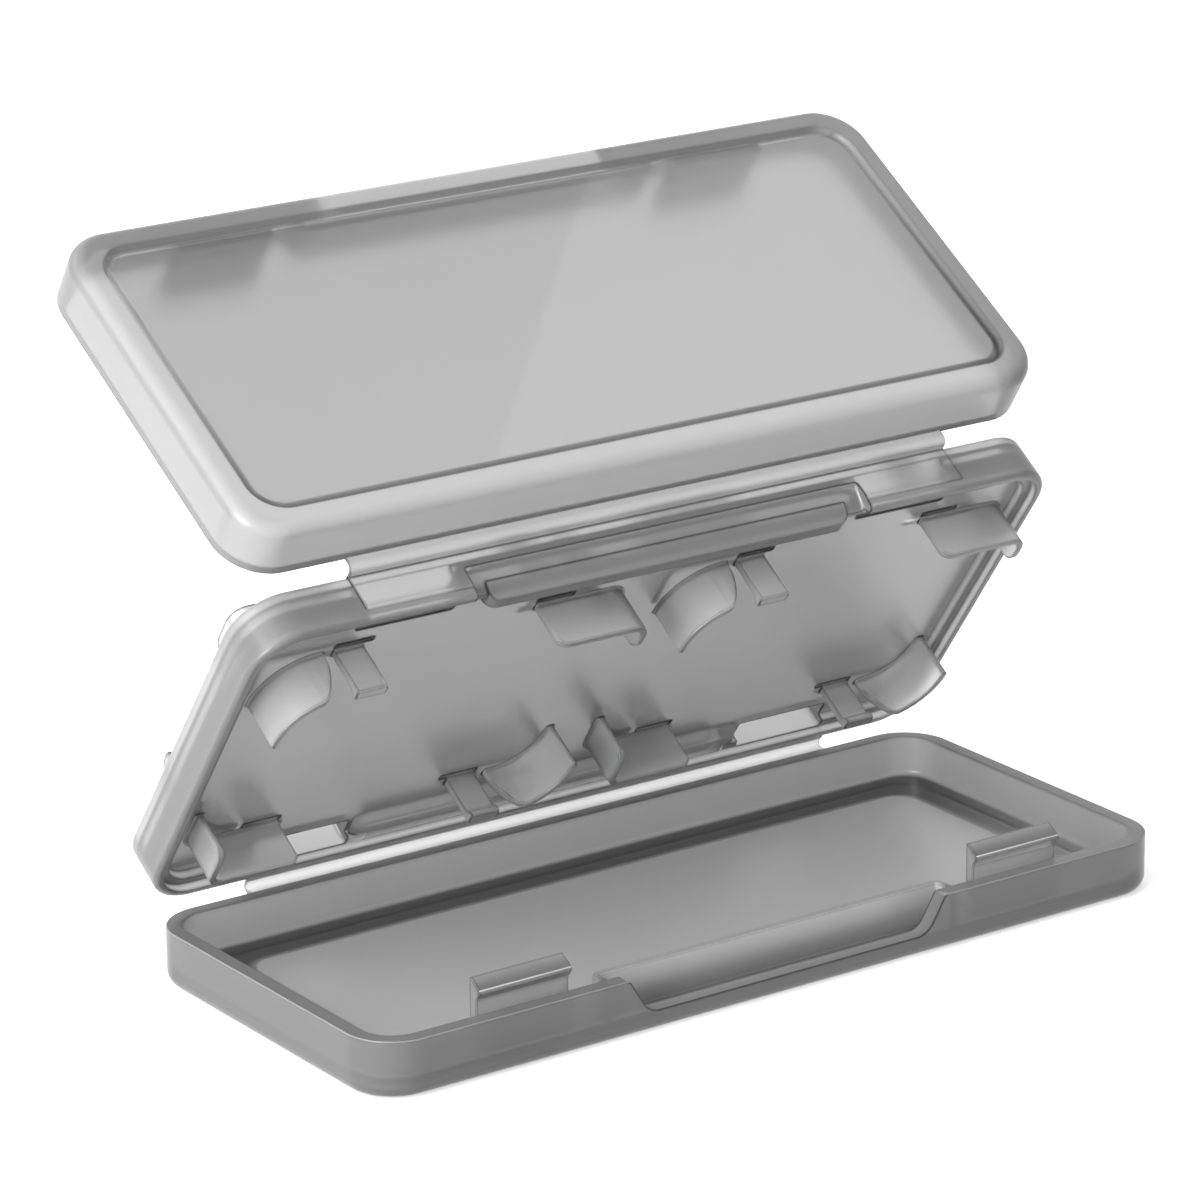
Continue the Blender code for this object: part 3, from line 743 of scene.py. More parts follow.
@dataclass
class UprightWall:
    """A thin wall that stands on a face along a path of its middle line, with soft edges.

    Its top follows top_at, a height for a length along the path and the path's whole length.
    """

    corners: Sequence[Corner]
    thickness: float
    foot: float
    top_at: Callable[[float, float], float]
    top_round: float
    flare: float
    end_round: float
    extra: Sequence[float] = ()
    barb: float = 0.0
    barb_height: float = 0.9 * MM
    barb_shoulder: float = 0.45
    barb_round_share: float = 0.35
    sink: float = 0.15 * MM
    thinnest_share: float = 0.12
    # Chords of each round stretch.
    steps: int = 9
    end_steps: int = 4
    profile_steps: int = 4

    def stations(self) -> list[tuple[float, Vector, Vector]]:
        """Lengths, points and left-hand normals along the path, close together near soft ends."""
        path = rounded(self.corners, self.steps, is_closed=False)
        lengths = [0.0]
        for low, high in zip(path, path[1:]):
            lengths.append(lengths[-1] + (high - low).length)
        normals = mitred_normals(path)
        whole = lengths[-1]
        ends = [self.end_round * (1 - math.cos(turn)) for turn in quarter_turns(self.end_steps)]
        wanted = set(lengths) | set(ends) | {whole - end for end in ends} | set(self.extra)
        rows = sorted(value for value in wanted if 0.0 <= value <= whole)
        found = []
        leg = 0
        for value in rows:
            if found and value - found[-1][0] < NEAR / 10:
                continue
            while leg < len(path) - 2 and value > lengths[leg + 1]:
                leg += 1
            share = (value - lengths[leg]) / (lengths[leg + 1] - lengths[leg])
            point = path[leg].lerp(path[leg + 1], share)
            found.append((value, point, normals[leg].lerp(normals[leg + 1], share)))
        return found

    def profile(self, top: float) -> Section:
        """Section as (offset to the left, height): a flared foot, soft top edges and any barb."""
        half = self.thickness / 2
        low = self.foot - self.sink
        corners = [
            (-half - self.flare, low, 0.0),
            (half + self.flare, low, 0.0),
            (half + self.flare, self.foot, 0.0),
            (half, self.foot + self.flare, self.flare),
        ]
        if self.barb > 0.0:
            corners.append((half, top - self.barb_height, self.barb / 2))
            shoulder = top - self.barb_height * self.barb_shoulder
            corners.append((half + self.barb, shoulder, self.barb * self.barb_round_share))
            corners.append((half + self.barb, top, self.top_round))
        else:
            corners.append((half, top, self.top_round))
        corners.append((-half, top, self.top_round))
        corners.append((-half, self.foot + self.flare, self.flare))
        corners.append((-half - self.flare, self.foot, 0.0))
        return [(point.x, point.y) for point in rounded(corners, self.profile_steps)]

    def sections(self) -> list[list[Corner]]:
        """Loops along the wall; its plan is drawn together at soft ends."""
        rows = self.stations()
        whole = rows[-1][0]
        loops = []
        for along, point, normal in rows:
            near = min(along, whole - along)
            share = 1.0
            if near < self.end_round:
                share = math.sqrt(max(0.0, 1.0 - (1.0 - near / self.end_round) ** 2))
            share = max(share, self.thinnest_share)
            loop = []
            for offset, height in self.profile(self.top_at(along, whole)):
                place = point + normal * offset * share
                loop.append((place.x, place.y, height))
            loops.append(loop)
        return loops


# Middle leaf


@dataclass
class CardClips:
    """The clips round one card on one face, about the middle of the card's place."""

    card_width: float = 31.0 * MM
    card_depth: float = 21.0 * MM
    play_x: float = 0.7 * MM
    play_y: float = 0.25 * MM
    wall: float = 0.6 * MM
    reach: float = 2.85 * MM
    foot: float = -1.35 * MM
    spacing: float = 4.6 * MM
    corner_radius: float = 4.8 * MM
    corner_land: float = 0.5 * MM
    corner_upright: float = 0.2 * MM
    corner_slant: float = 2.1 * MM
    corner_low: float = 0.6 * MM
    corner_bulge: float = 0.8
    tab_start: float = 6.1 * MM
    tab_length: float = 2.8 * MM
    tab_barb: float = 0.4 * MM
    tab_end_round: float = 0.1 * MM
    angle_length: float = 8.8 * MM
    angle_bend: float = 1.5 * MM
    upper_side: float = 3.2 * MM
    lower_side: float = 4.4 * MM
    angle_end_round: float = 1.1 * MM
    slot_width: float = 0.5 * MM
    slot_length: float = 3.6 * MM
    slot_depth: float = 0.35 * MM
    top_round: float = 0.14 * MM
    flare: float = 0.2 * MM
    end_round: float = 0.28 * MM
    # Chords of each round stretch.
    slant_steps: int = 8
    angle_end_steps: int = 7

    @property
    def half_x(self) -> float:
        """Half of the outer width over the clips."""
        return self.card_width / 2 + self.play_x + self.wall

    @property
    def half_y(self) -> float:
        """Half of the outer depth over the clips."""
        return self.card_depth / 2 + self.play_y + self.wall

    @property
    def centre_x(self) -> float:
        """Distance from the leaf's middle to the middle of a card's place."""
        return self.half_x + self.spacing / 2

    def upright(self, corners: Sequence[Corner], top_at: Callable[[float, float], float],
                end_round: float, extra: Sequence[float] = (), barb: float = 0.0) -> UprightWall:
        """Make one clip wall.

        Args:
            corners: corners of its middle line as (x, y, radius).
            top_at: its height for a length along the line and the line's whole length.
            end_round: radius of its two upright ends.
            extra: further lengths along the line at which it gets a section.
            barb: how far a barb stands out at its top.

        Returns:
            The wall.
        """
        return UprightWall(
            corners=corners, thickness=self.wall, foot=self.foot, top_at=top_at,
            top_round=self.top_round, flare=self.flare, end_round=end_round, extra=extra, barb=barb,
        )

    def corner_clip(self) -> UprightWall:
        """The curved clip about the lower right corner, whose free edge by the tab is slanted."""
        half = self.wall / 2
        x = self.half_x - half
        y = -self.half_y + half
        radius = self.corner_radius - half
        corners = [
            (self.half_x - self.corner_radius - self.corner_land, y, 0.0),
            (x, y, radius),
            (x, -self.half_y + self.corner_radius + self.corner_upright, 0.0),
        ]
        low = self.foot + self.corner_low
        rise = self.reach - low

        def top_at(along: float, _whole: float) -> float:
            """Height of the slanted end and of the level rest."""
            share = min(along / self.corner_slant, 1.0)
            return low + rise * math.sin(share * math.pi / 2) ** self.corner_bulge

        steps = self.slant_steps
        extra = [self.corner_slant * step / steps for step in range(1, steps + 1)]
        return self.upright(corners, top_at, self.end_round, extra)

    def tab(self) -> UprightWall:
        """The straight tab beside the curved clip, with its barb over the card."""
        right = self.half_x - self.tab_start
        y = -self.half_y + self.wall / 2
        corners = [(right - self.tab_length, y, 0.0), (right, y, 0.0)]
        return self.upright(
            corners, lambda _along, _whole: self.reach, self.tab_end_round, barb=self.tab_barb)

    def angle_clip(self, side: float) -> UprightWall:
        """Make the L-shaped clip about the lower left corner, with round free corners.

        Args:
            side: length of its leg along the card's side.

        Returns:
            The clip.
        """
        half = self.wall / 2
        x = -self.half_x + half
        y = -self.half_y + half
        corners = [
            (x, -self.half_y + side, 0.0),
            (x, y, self.angle_bend - half),
            (x + self.angle_length - half, y, 0.0),
        ]
        radius = self.angle_end_round

        def fall(distance: float) -> float:
            """How much the top is lower at a distance from a free end."""
            if distance >= radius:
                return 0.0
            return radius - math.sqrt(radius ** 2 - (radius - distance) ** 2)

        path = rounded(corners, UprightWall.steps, is_closed=False)
        whole = sum((b - a).length for a, b in zip(path, path[1:]))
        near = [radius * (1 - math.cos(turn)) for turn in quarter_turns(self.angle_end_steps)[1:]]
        extra = near + [whole - length for length in near]

        def top_at(along: float, total: float) -> float:
            """Height of the clip, lower near both free ends."""
            return self.reach - fall(along) - fall(total - along)

        return self.upright(corners, top_at, self.end_round, extra)

    def loops(self) -> list[list[list[Corner]]]:
        """Loops of all six clips: three, and three turned half round."""
        lower = [self.corner_clip(), self.tab(), self.angle_clip(self.lower_side)]
        upper = [self.corner_clip(), self.tab(), self.angle_clip(self.upper_side)]
        made = [wall.sections() for wall in lower]
        for wall in upper:
            made.append([[(-x, -y, z) for x, y, z in loop] for loop in wall.sections()])
        return made

    def slot_corners(self) -> list[tuple[float, float]]:
        """Lower left corners of the core slots that the moulding leaves beside the clips' feet."""
        below = -self.half_y + self.wall + self.flare
        above = self.half_y + self.flare
        run = self.angle_length - self.slot_length
        return [
            (-self.half_x + run, below),
            (self.half_x - self.tab_start - self.slot_length, below),
            (-self.half_x + self.tab_start, above),
            (self.half_x - run - self.slot_length, above),
        ]


@dataclass
class MiddleLeaf:
    """The leaf between the hinges: both faces alike, the back one turned half round about X.

    Its frame has Y up the leaf from the lower edge, and Z out of the front rim's plane.
    """

    plan: LeafPlan
    clips: CardClips
    thickness: float = 4.3 * MM
    edge_round: float = 0.45 * MM
    rim: float = 0.85 * MM
    rim_round: float = 0.12 * MM
    step: float = 0.8 * MM
    step_depth: float = 0.66 * MM
    face_depth: float = 1.35 * MM
    ledge_fillet: float = 0.16 * MM
    window_inset: float = 1.0 * MM
    window_reach: float = 3.15 * MM
    window_half: float = 4.5 * MM
    window_centre: float = ShellMoulding.catch_centre
    window_corner: float = 0.25 * MM
    scoop_half: float = 19.05 * MM
    scoop_depth: float = 2.7 * MM
    scoop_sink: float = 0.22 * MM
    scoop_lift: float = 0.12 * MM
    scoop_round: float = 0.6 * MM
    scoop_end_round: float = 0.3 * MM
    tongue_half: float = 17.4 * MM
    tongue_pad_half: float = 15.0 * MM
    tongue_drop: float = 0.8 * MM
    tongue_tip_inset: float = 1.75 * MM
    tongue_inner_inset: float = 2.3 * MM
    tongue_sink: float = 0.2 * MM
    tongue_soft: float = 0.1 * MM
    tongue_pad_sink: float = 0.1 * MM
    tongue_pad_soft: float = 0.16 * MM
    tongue_end: float = 0.9 * MM
    tongue_end_foot: float = 0.05 * MM
    bar_half: float = 19.3 * MM
    bar_inner: float = 3.5 * MM
    bar_fall: float = 1.5 * MM
    bar_sink: float = 0.25 * MM
    bar_lap: float = 0.3 * MM
    bar_root: float = 0.8 * MM
    bar_toe: float = 0.2 * MM
    bar_toe_round: float = 1.0 * MM
    bar_crest: float = 0.9 * MM
    bar_crest_round: float = 0.3 * MM
    pad_half: float = 28.8 * MM
    pad_proud: float = 0.14 * MM
    pad_depth: float = 3.3 * MM
    pad_root: float = 0.4 * MM
    pad_low_round: float = 0.08 * MM
    pad_high_round: float = 0.5 * MM
    pad_slope: float = 0.55 * MM
    pad_end_round: float = 0.06 * MM
    slot_corner: float = 0.1 * MM
    slot_cut: float = 0.4 * MM
    # Painted light on the strips that the hinges run into.
    upper_strip_light_share: float = 0.1
    strip_top: float = 0.35 * MM
    # Chords of each round stretch.
    ledge_steps: int = 3
    edge_steps: int = 6
    cutter_steps: int = 3
    scoop_steps: int = 5
    tongue_steps: int = 4
    tongue_end_steps: int = 6
    bar_steps: int = 5
    pad_steps: int = 4

    def half_rings(self) -> list[Corner]:
        """One face from its middle to the outer edge, as (inset, height above mid-plane, corner)."""
        half = self.thickness / 2
        plan = self.plan
        ledges = [
            (self.rim + self.step, half - self.face_depth, half - self.step_depth),
            (self.rim, half - self.step_depth, half),
        ]
        rows = []
        for inset, low, high in ledges:
            for turn in quarter_turns(self.ledge_steps):
                foot = self.ledge_fillet * (1 - math.sin(turn))
                rows.append((inset + foot, low + self.ledge_fillet * (1 - math.cos(turn))))
            for turn in quarter_turns(self.ledge_steps):
                lip = self.rim_round * (1 - math.cos(turn))
                rows.append((inset - lip, high - self.rim_round * (1 - math.sin(turn))))
        rings = [(inset, height, plan.inner_corner(inset)) for inset, height in rows]
        for turn in quarter_turns(self.edge_steps):
            inset = self.edge_round * (1 - math.sin(turn))
            height = half - self.edge_round * (1 - math.cos(turn))
            rings.append((inset, height, plan.corner - inset))
        return rings

    def body(self) -> bpy.types.Mesh:
        """Return the plate with the stepped rim on both faces."""
        front = self.half_rings()
        rows = front + [(inset, -height, corner) for inset, height, corner in reversed(front)]
        middle = self.plan.depth / 2
        drop = self.thickness / 2
        solid = SolidBuilder()
        solid.loft([self.plan.ring(inset, height - drop, corner, middle) for inset, height, corner in rows])
        return solid.mesh("middle_leaf")

    def turned_over(self, place: Sequence[float]) -> Corner:
        """Turn a place half round about X, from the front face to the back face."""
        x, y, z = place
        return (x, self.plan.depth - y, -self.thickness - z)

    def both_faces(self, fill: Callable[[SolidBuilder], None], name: str) -> bpy.types.Mesh:
        """Make solids on the front face and the same ones, turned over, on the back face.

        Args:
            fill: adds the front face's solids to a builder.
            name: name of the mesh.

        Returns:
            The solids of both faces in one mesh.
        """
        front = SolidBuilder()
        fill(front)
        back = SolidBuilder()
        fill(back)
        for vertex in back.shape.verts:
            vertex.co = self.turned_over(vertex.co)
        spare = bpy.data.meshes.new("spare")
        back.shape.to_mesh(spare)
        back.shape.free()
        front.shape.from_mesh(spare)
        bpy.data.meshes.remove(spare)
        return front.mesh(name)

    def bar_on_faces(self, corners: Sequence[Corner], steps: int, half: float, edge: float,
                     name: str) -> bpy.types.Mesh:
        """Make one bar along X on each face.

        Args:
            corners: its section on the front face as (y, z, radius).
            steps: number of chords in each of the section's arcs.
            half: half of its length.
            edge: radius of the rounding at its two ends.
            name: name of the mesh.

        Returns:
            Both bars in one mesh.
        """
        outline = rounded(corners, steps)
        return self.both_faces(lambda solid: solid.bar(outline, half, 0.0, edge), name)

    def scoop_line(self, height: float) -> float:
        """Inset of the tongue's sloping front at a height above the front plane."""
        return self.tongue_tip_inset * (self.scoop_depth + height) / (self.scoop_depth + self.tongue_drop)

    def windows(self) -> bpy.types.Mesh:
        """Return the cutter for the four windows that take the catches."""
        solid = SolidBuilder()
        depth = self.plan.depth
        rows = [
            (self.window_inset, self.window_reach),
            (depth - self.window_reach, depth - self.window_inset),
        ]
        heights = (-self.thickness - OVERCUT, OVERCUT)
        for side in Side:
            left = side.value * self.window_centre - self.window_half
            right = side.value * self.window_centre + self.window_half
            for low, high in rows:
                corners = oblong(left, low, right, high, self.window_corner)
                outline = rounded(corners, self.cutter_steps)
                solid.loft([[(point.x, point.y, z) for point in outline] for z in heights])
        return solid.mesh("windows")

    def scoops(self) -> bpy.types.Mesh:
        """Return the cutter for the slope into the edge beside and above each tongue."""
        depth = self.plan.depth
        sink = self.scoop_sink
        corners = [
            (depth + sink, -self.scoop_depth, 0.0),
            (depth + OVERCUT, -self.scoop_depth, 0.0),
            (depth + OVERCUT, OVERCUT, 0.0),
            (depth - self.scoop_line(OVERCUT) - sink, OVERCUT, 0.0),
            (depth - sink, -self.scoop_depth + self.scoop_lift, self.scoop_round),
        ]
        return self.bar_on_faces(
            corners, self.scoop_steps, self.scoop_half, self.scoop_end_round, "scoops")

    def tongues(self) -> bpy.types.Mesh:
        """Return both thumb tongues."""
        return self.both_faces(self.add_tongue, "tongues")

    def add_tongue(self, solid: SolidBuilder) -> None:
        """Add one tongue: a sloping bar up to the rim and a narrower pad on it."""
        inner = self.plan.depth - self.tongue_inner_inset
        low = -self.face_depth - self.tongue_sink
        pad_low = -self.tongue_pad_sink
        # The bar stands a little proud of the pad's inner side, so that no two faces coincide.
        self.add_level(solid, self.tongue_half, (inner - 2 * NEAR, low), 0.0, self.tongue_soft)
        self.add_level(
            solid, self.tongue_pad_half, (inner, pad_low), self.tongue_drop, self.tongue_pad_soft)

    def add_level(self, solid: SolidBuilder, half: float, inner_foot: tuple[float, float], top: float,
                  soft: float) -> None:
        """Add one level of the tongue with round ends.

        Args:
            solid: where to add it.
            half: half of its length along X.
            inner_foot: place along Y of its inner side, and height of its foot.
            top: height of its top above the rim's plane.
            soft: radius of its top edges.
        """
        depth = self.plan.depth
        inner_edge, base = inner_foot
        corners = [
            (inner_edge, base, 0.0),
            (depth - self.scoop_line(base), base, 0.0),
            (depth - self.scoop_line(top), top, soft),
            (inner_edge, top, soft),
        ]
        outline = rounded(corners, self.tongue_steps)
        end = self.tongue_end
        turns = quarter_turns(self.tongue_end_steps)
        places = [(half - end * (1 - math.sin(turn)), 1 - math.cos(turn)) for turn in turns]
        rows = [(-reach, fall) for reach, fall in reversed(places)] + places
        halfway = (2 * depth - self.tongue_inner_inset - self.scoop_line(top)) / 2
        loops = []
        for x, fall in rows:
            drop = fall * min(end, top - base - self.tongue_end_foot)
            loop = []
            for point in outline:
                share = (point.y - base) / (top - base)
                height = point.y - drop * share
                slide = (self.scoop_line(point.y) - self.scoop_line(height)) * share
                loop.append((x, point.x + (slide if point.x > halfway else 0.0), height))
            loops.append(loop)
        solid.loft(loops)

    def bars(self) -> bpy.types.Mesh:
        """Return the low bar along the lower edge of each face, where the other face is scooped."""
        low = -self.face_depth - self.bar_sink
        top = -self.step_depth + 3 * NEAR
        outer = self.rim - self.bar_lap
        inner = self.bar_inner + self.bar_root
        corners = [
            (outer, low, 0.0),
            (inner, low, 0.0),
            (inner, -self.face_depth - 2 * NEAR, 0.0),
            (self.bar_inner + self.bar_toe, -self.face_depth + 3 * NEAR, self.bar_toe_round),
            (self.bar_inner - self.bar_crest, top, self.bar_crest_round),
            (outer, top, 0.0),
        ]
        outline = rounded(corners, self.bar_steps)
        return self.both_faces(lambda solid: solid.domed_bar(outline, self.bar_half, self.bar_fall), "bars")

    def hinge_pads(self) -> bpy.types.Mesh:
        """Return the flat strips on the two edges that the living hinges run into."""
        depth = self.plan.depth
        inner = depth - self.pad_root
        low = -self.thickness + 3 * NEAR
        high = low + self.pad_depth
        corners = [
            (inner, low, 0.0),
            (depth + self.pad_proud, low, self.pad_low_round),
            (depth + self.pad_proud, high, self.pad_high_round),
            (inner, high + self.pad_slope, 0.0),
        ]
        return self.bar_on_faces(
            corners, self.pad_steps, self.pad_half, self.pad_end_round, "hinge_pads")

    def slots(self) -> bpy.types.Mesh:
        """Return the cutter for the core slots on both faces."""
        return self.both_faces(self.add_slots, "slots")

    def add_slots(self, solid: SolidBuilder) -> None:
        """Add the core slots of one face."""
        clips = self.clips
        heights = (-self.face_depth - clips.slot_depth, -self.face_depth + self.slot_cut)
        for side in Side:
            for left, below in clips.slot_corners():
                x = side.value * clips.centre_x + left
                y = self.plan.depth / 2 + below
                right, above = x + clips.slot_length, y + clips.slot_width
                corners = oblong(x, y, right, above, self.slot_corner)
                outline = rounded(corners, self.cutter_steps)
                solid.loft([[(point.x, point.y, z) for point in outline] for z in heights])

    def clip_set(self) -> bpy.types.Mesh:
        """Return the clips of all four cards."""
        solid = SolidBuilder()
        middle = self.plan.depth / 2
        for side in Side:
            shift = side.value * self.clips.centre_x
            for loops in self.clips.loops():
                placed = [[(x + shift, y + middle, z) for x, y, z in loop] for loop in loops]
                solid.loft(placed)
                solid.loft([[self.turned_over(place) for place in loop] for loop in placed])
        return solid.mesh("clips")

    def mesh(self) -> bpy.types.Mesh:
        """Return the whole moulding in its own frame."""
        made = self.body()
        made = combine(made, self.hinge_pads(), Operation.UNION)
        made = combine(made, self.scoops(), Operation.DIFFERENCE)
        made = combine(made, self.bars(), Operation.UNION)
        made = combine(made, self.windows(), Operation.DIFFERENCE)
        made = combine(made, self.tongues(), Operation.UNION)
        made = combine(made, self.slots(), Operation.DIFFERENCE)
        return combine(made, self.clip_set(), Operation.UNION)

    def build(self, name: str, place: Matrix, finish: bpy.types.Material) -> bpy.types.Object:
        """Build the middle leaf and dress it.

        Args:
            name: name of the piece.
            place: the front face's frame in the case's frame.
            finish: its material.

        Returns:
            The leaf with its clips as one piece.
        """
        mesh = self.mesh()
        # Painted light: the hinge strips and the faces with their clips are painted paler.
        mark_zone(mesh, Zone.STRIP_LIGHT, self.strip_light_weight)
        mark_zone(mesh, Zone.FINE, self.face_weight)
        piece = add_moulding(name, mesh, place)
        piece.data.materials.append(finish)
        return piece

    def face_weight(self, place: Vector) -> float:
        """Return 1 on the two faces inside the steps, and on the clips that stand on them, which are
        painted paler as painted light.
        """
        from_side = self.plan.width / 2 - abs(place.x)
        from_edge = min(place.y, self.plan.depth - place.y)
        margin = self.rim + self.step + NEAR
        is_bar_side = (place.y < self.plan.depth / 2) == (place.z > -self.thickness / 2)
        is_bare = is_bar_side or from_edge > self.bar_inner or abs(place.x) > self.bar_half
        return float(min(from_side, from_edge) > margin and is_bare)

    def strip_light_weight(self, place: Vector) -> float:
        """Return 1 in the strip where the lower hinge runs in, painted paler as light shining through it,
        and little at the upper one.
        """
        from_edge = min(place.y, self.plan.depth - place.y)
        is_strip = abs(place.x) < self.pad_half + NEAR and from_edge < self.window_inset + 2 * NEAR
        if not is_strip or not -self.thickness + NEAR < place.z < -self.strip_top:
            return 0.0
        return 1.0 if place.y < self.plan.depth / 2 else self.upper_strip_light_share


# Living hinges


@dataclass
class HingeFilm:
    """The thin film that joins two leaves along a fold line and bends between them."""

    pivot: Vector
    parent_along: Vector
    parent_inner: Vector
    opening: float
    half_length: float = MiddleLeaf.pad_half
    thickness: float = 0.3 * MM
    rim_drop: float = 0.26 * MM
    seat: float = 0.95 * MM
    free: float = 0.4 * MM
    handle: float = 0.42 * MM
    end_round: float = 0.06 * MM
    end_share: float = 0.5
    crease: float = 50.0
    steps: int = 14

    def child_axes(self) -> tuple[Vector, Vector]:
        """Directions along the second leaf and out of its back."""
        turn, lift = math.cos(self.opening), math.sin(self.opening)
        along = self.parent_along * turn + self.parent_inner * lift
        outward = self.parent_inner * turn - self.parent_along * lift
        return along, outward

    def middle_line(self) -> list[Vector]:
        """Points of the film's middle line, from inside the first leaf to inside the second."""
        along, outward = self.child_axes()
        first = self.parent_along * self.free - self.parent_inner * self.rim_drop
        last = along * self.free + outward * self.rim_drop
        first_handle = first - self.parent_along * self.handle
        last_handle = last - along * self.handle
        points = [first + self.parent_along * (self.seat - self.free)]
        for step in range(self.steps + 1):
            t = step / self.steps
            u = 1 - t
            point = first * u ** 3 + first_handle * (3 * u * u * t)
            point += last_handle * (3 * u * t * t) + last * t ** 3
            points.append(point)
        points.append(last + along * (self.seat - self.free))
        return points

    def build(self, name: str, finish: bpy.types.Material) -> bpy.types.Object:
        """Build the film at rest.

        Args:
            name: name of the piece.
            finish: its material.

        Returns:
            The film, with its place in its mesh.
        """
        line = self.middle_line()
        near: list[Vector] = []
        far: list[Vector] = []
        for index, point in enumerate(line):
            before = line[max(index - 1, 0)]
            after = line[min(index + 1, len(line) - 1)]
            heading = (after - before).normalized()
            normal = Vector((0.0, -heading.z, heading.y))
            near.append(point + normal * self.thickness / 2)
            far.append(point - normal * self.thickness / 2)
        outline = near + far[::-1]
        full = self.half_length - self.end_round
        stations = [
            (-self.half_length, self.end_share),
            (-full, 1.0),
            (full, 1.0),
            (self.half_length, self.end_share),
        ]
        loops = []
        for x, share in stations:
            loop = []
            for index, point in enumerate(outline):
                middle = line[index] if index < len(line) else line[2 * len(line) - 1 - index]
                placed = self.pivot + middle + (point - middle) * share
                loop.append((x, placed.y, placed.z))
            loops.append(loop)
        solid = SolidBuilder()
        solid.loft(loops)
        mesh = solid.mesh(name)
        tidy_surface(mesh, crease=self.crease)
        mesh.materials.append(finish)
        return add_object(name, mesh)

    def crossing(self) -> tuple[Vector, Vector]:
        """Points where the film leaves the first leaf and meets the second."""
        line = self.middle_line()
        return self.pivot + line[1], self.pivot + line[-2]


# Finishes


def linear(hex_colour: str) -> tuple[float, float, float, float]:
    """Turn an sRGB hex colour into linear red, green, blue and alpha."""
    values = []
    for start in (0, 2, 4):
        share = int(hex_colour[start:start + 2], 16) / 255
        values.append(share / 12.92 if share <= 0.04045 else ((share + 0.055) / 1.055) ** 2.4)
    return (values[0], values[1], values[2], 1.0)


def add_node(tree: bpy.types.NodeTree, kind: str,
             links: dict[str | int, bpy.types.NodeSocket] | None = None,
             inputs: dict[str | int, object] | None = None, **settings: object) -> bpy.types.Node:
    """Add a node to a tree.

    Args:
        tree: the node tree.
        kind: the node's type name.
        links: output sockets by the name or number of the input that they feed.
        inputs: values by the name or number of an input.
        settings: the node's own properties.

    Returns:
        The new node.
    """
    node = tree.nodes.new(kind)
    for name, value in settings.items():
        setattr(node, name, value)
    for socket, value in (inputs or {}).items():
        node.inputs[socket].default_value = value
    for socket, output in (links or {}).items():
        tree.links.new(output, node.inputs[socket])
    return node


def new_material(name: str) -> bpy.types.Material:
    """Return a material with an empty node tree."""
    material = bpy.data.materials.new(name)
    material.use_nodes = True
    material.node_tree.nodes.clear()
    return material


def larger(tree: bpy.types.NodeTree, first: bpy.types.NodeSocket,
           second: bpy.types.NodeSocket) -> bpy.types.NodeSocket:
    """Return the larger of two values."""
    return add_node(tree, "ShaderNodeMath", {0: first, 1: second}, operation="MAXIMUM").outputs[0]


def zone_weight(tree: bpy.types.NodeTree, zone: Zone) -> bpy.types.NodeSocket:
    """Return a zone's weight, read from the moulding's points."""
    return add_node(tree, "ShaderNodeAttribute", attribute_name=zone.value).outputs["Fac"]


def tinted(tree: bpy.types.NodeTree, under: bpy.types.NodeSocket, colour: str,
           share: bpy.types.NodeSocket) -> bpy.types.NodeSocket:
    """Lay a colour over another one.

    Args:
        tree: the node tree.
        under: the colour below.
        colour: the sRGB hex colour above.
        share: how far the one above covers.

    Returns:
        The mixed colour.
    """
    mix = add_node(tree, "ShaderNodeMix", {0: share, 6: under}, {7: linear(colour)}, data_type="RGBA")
    return mix.outputs[2]


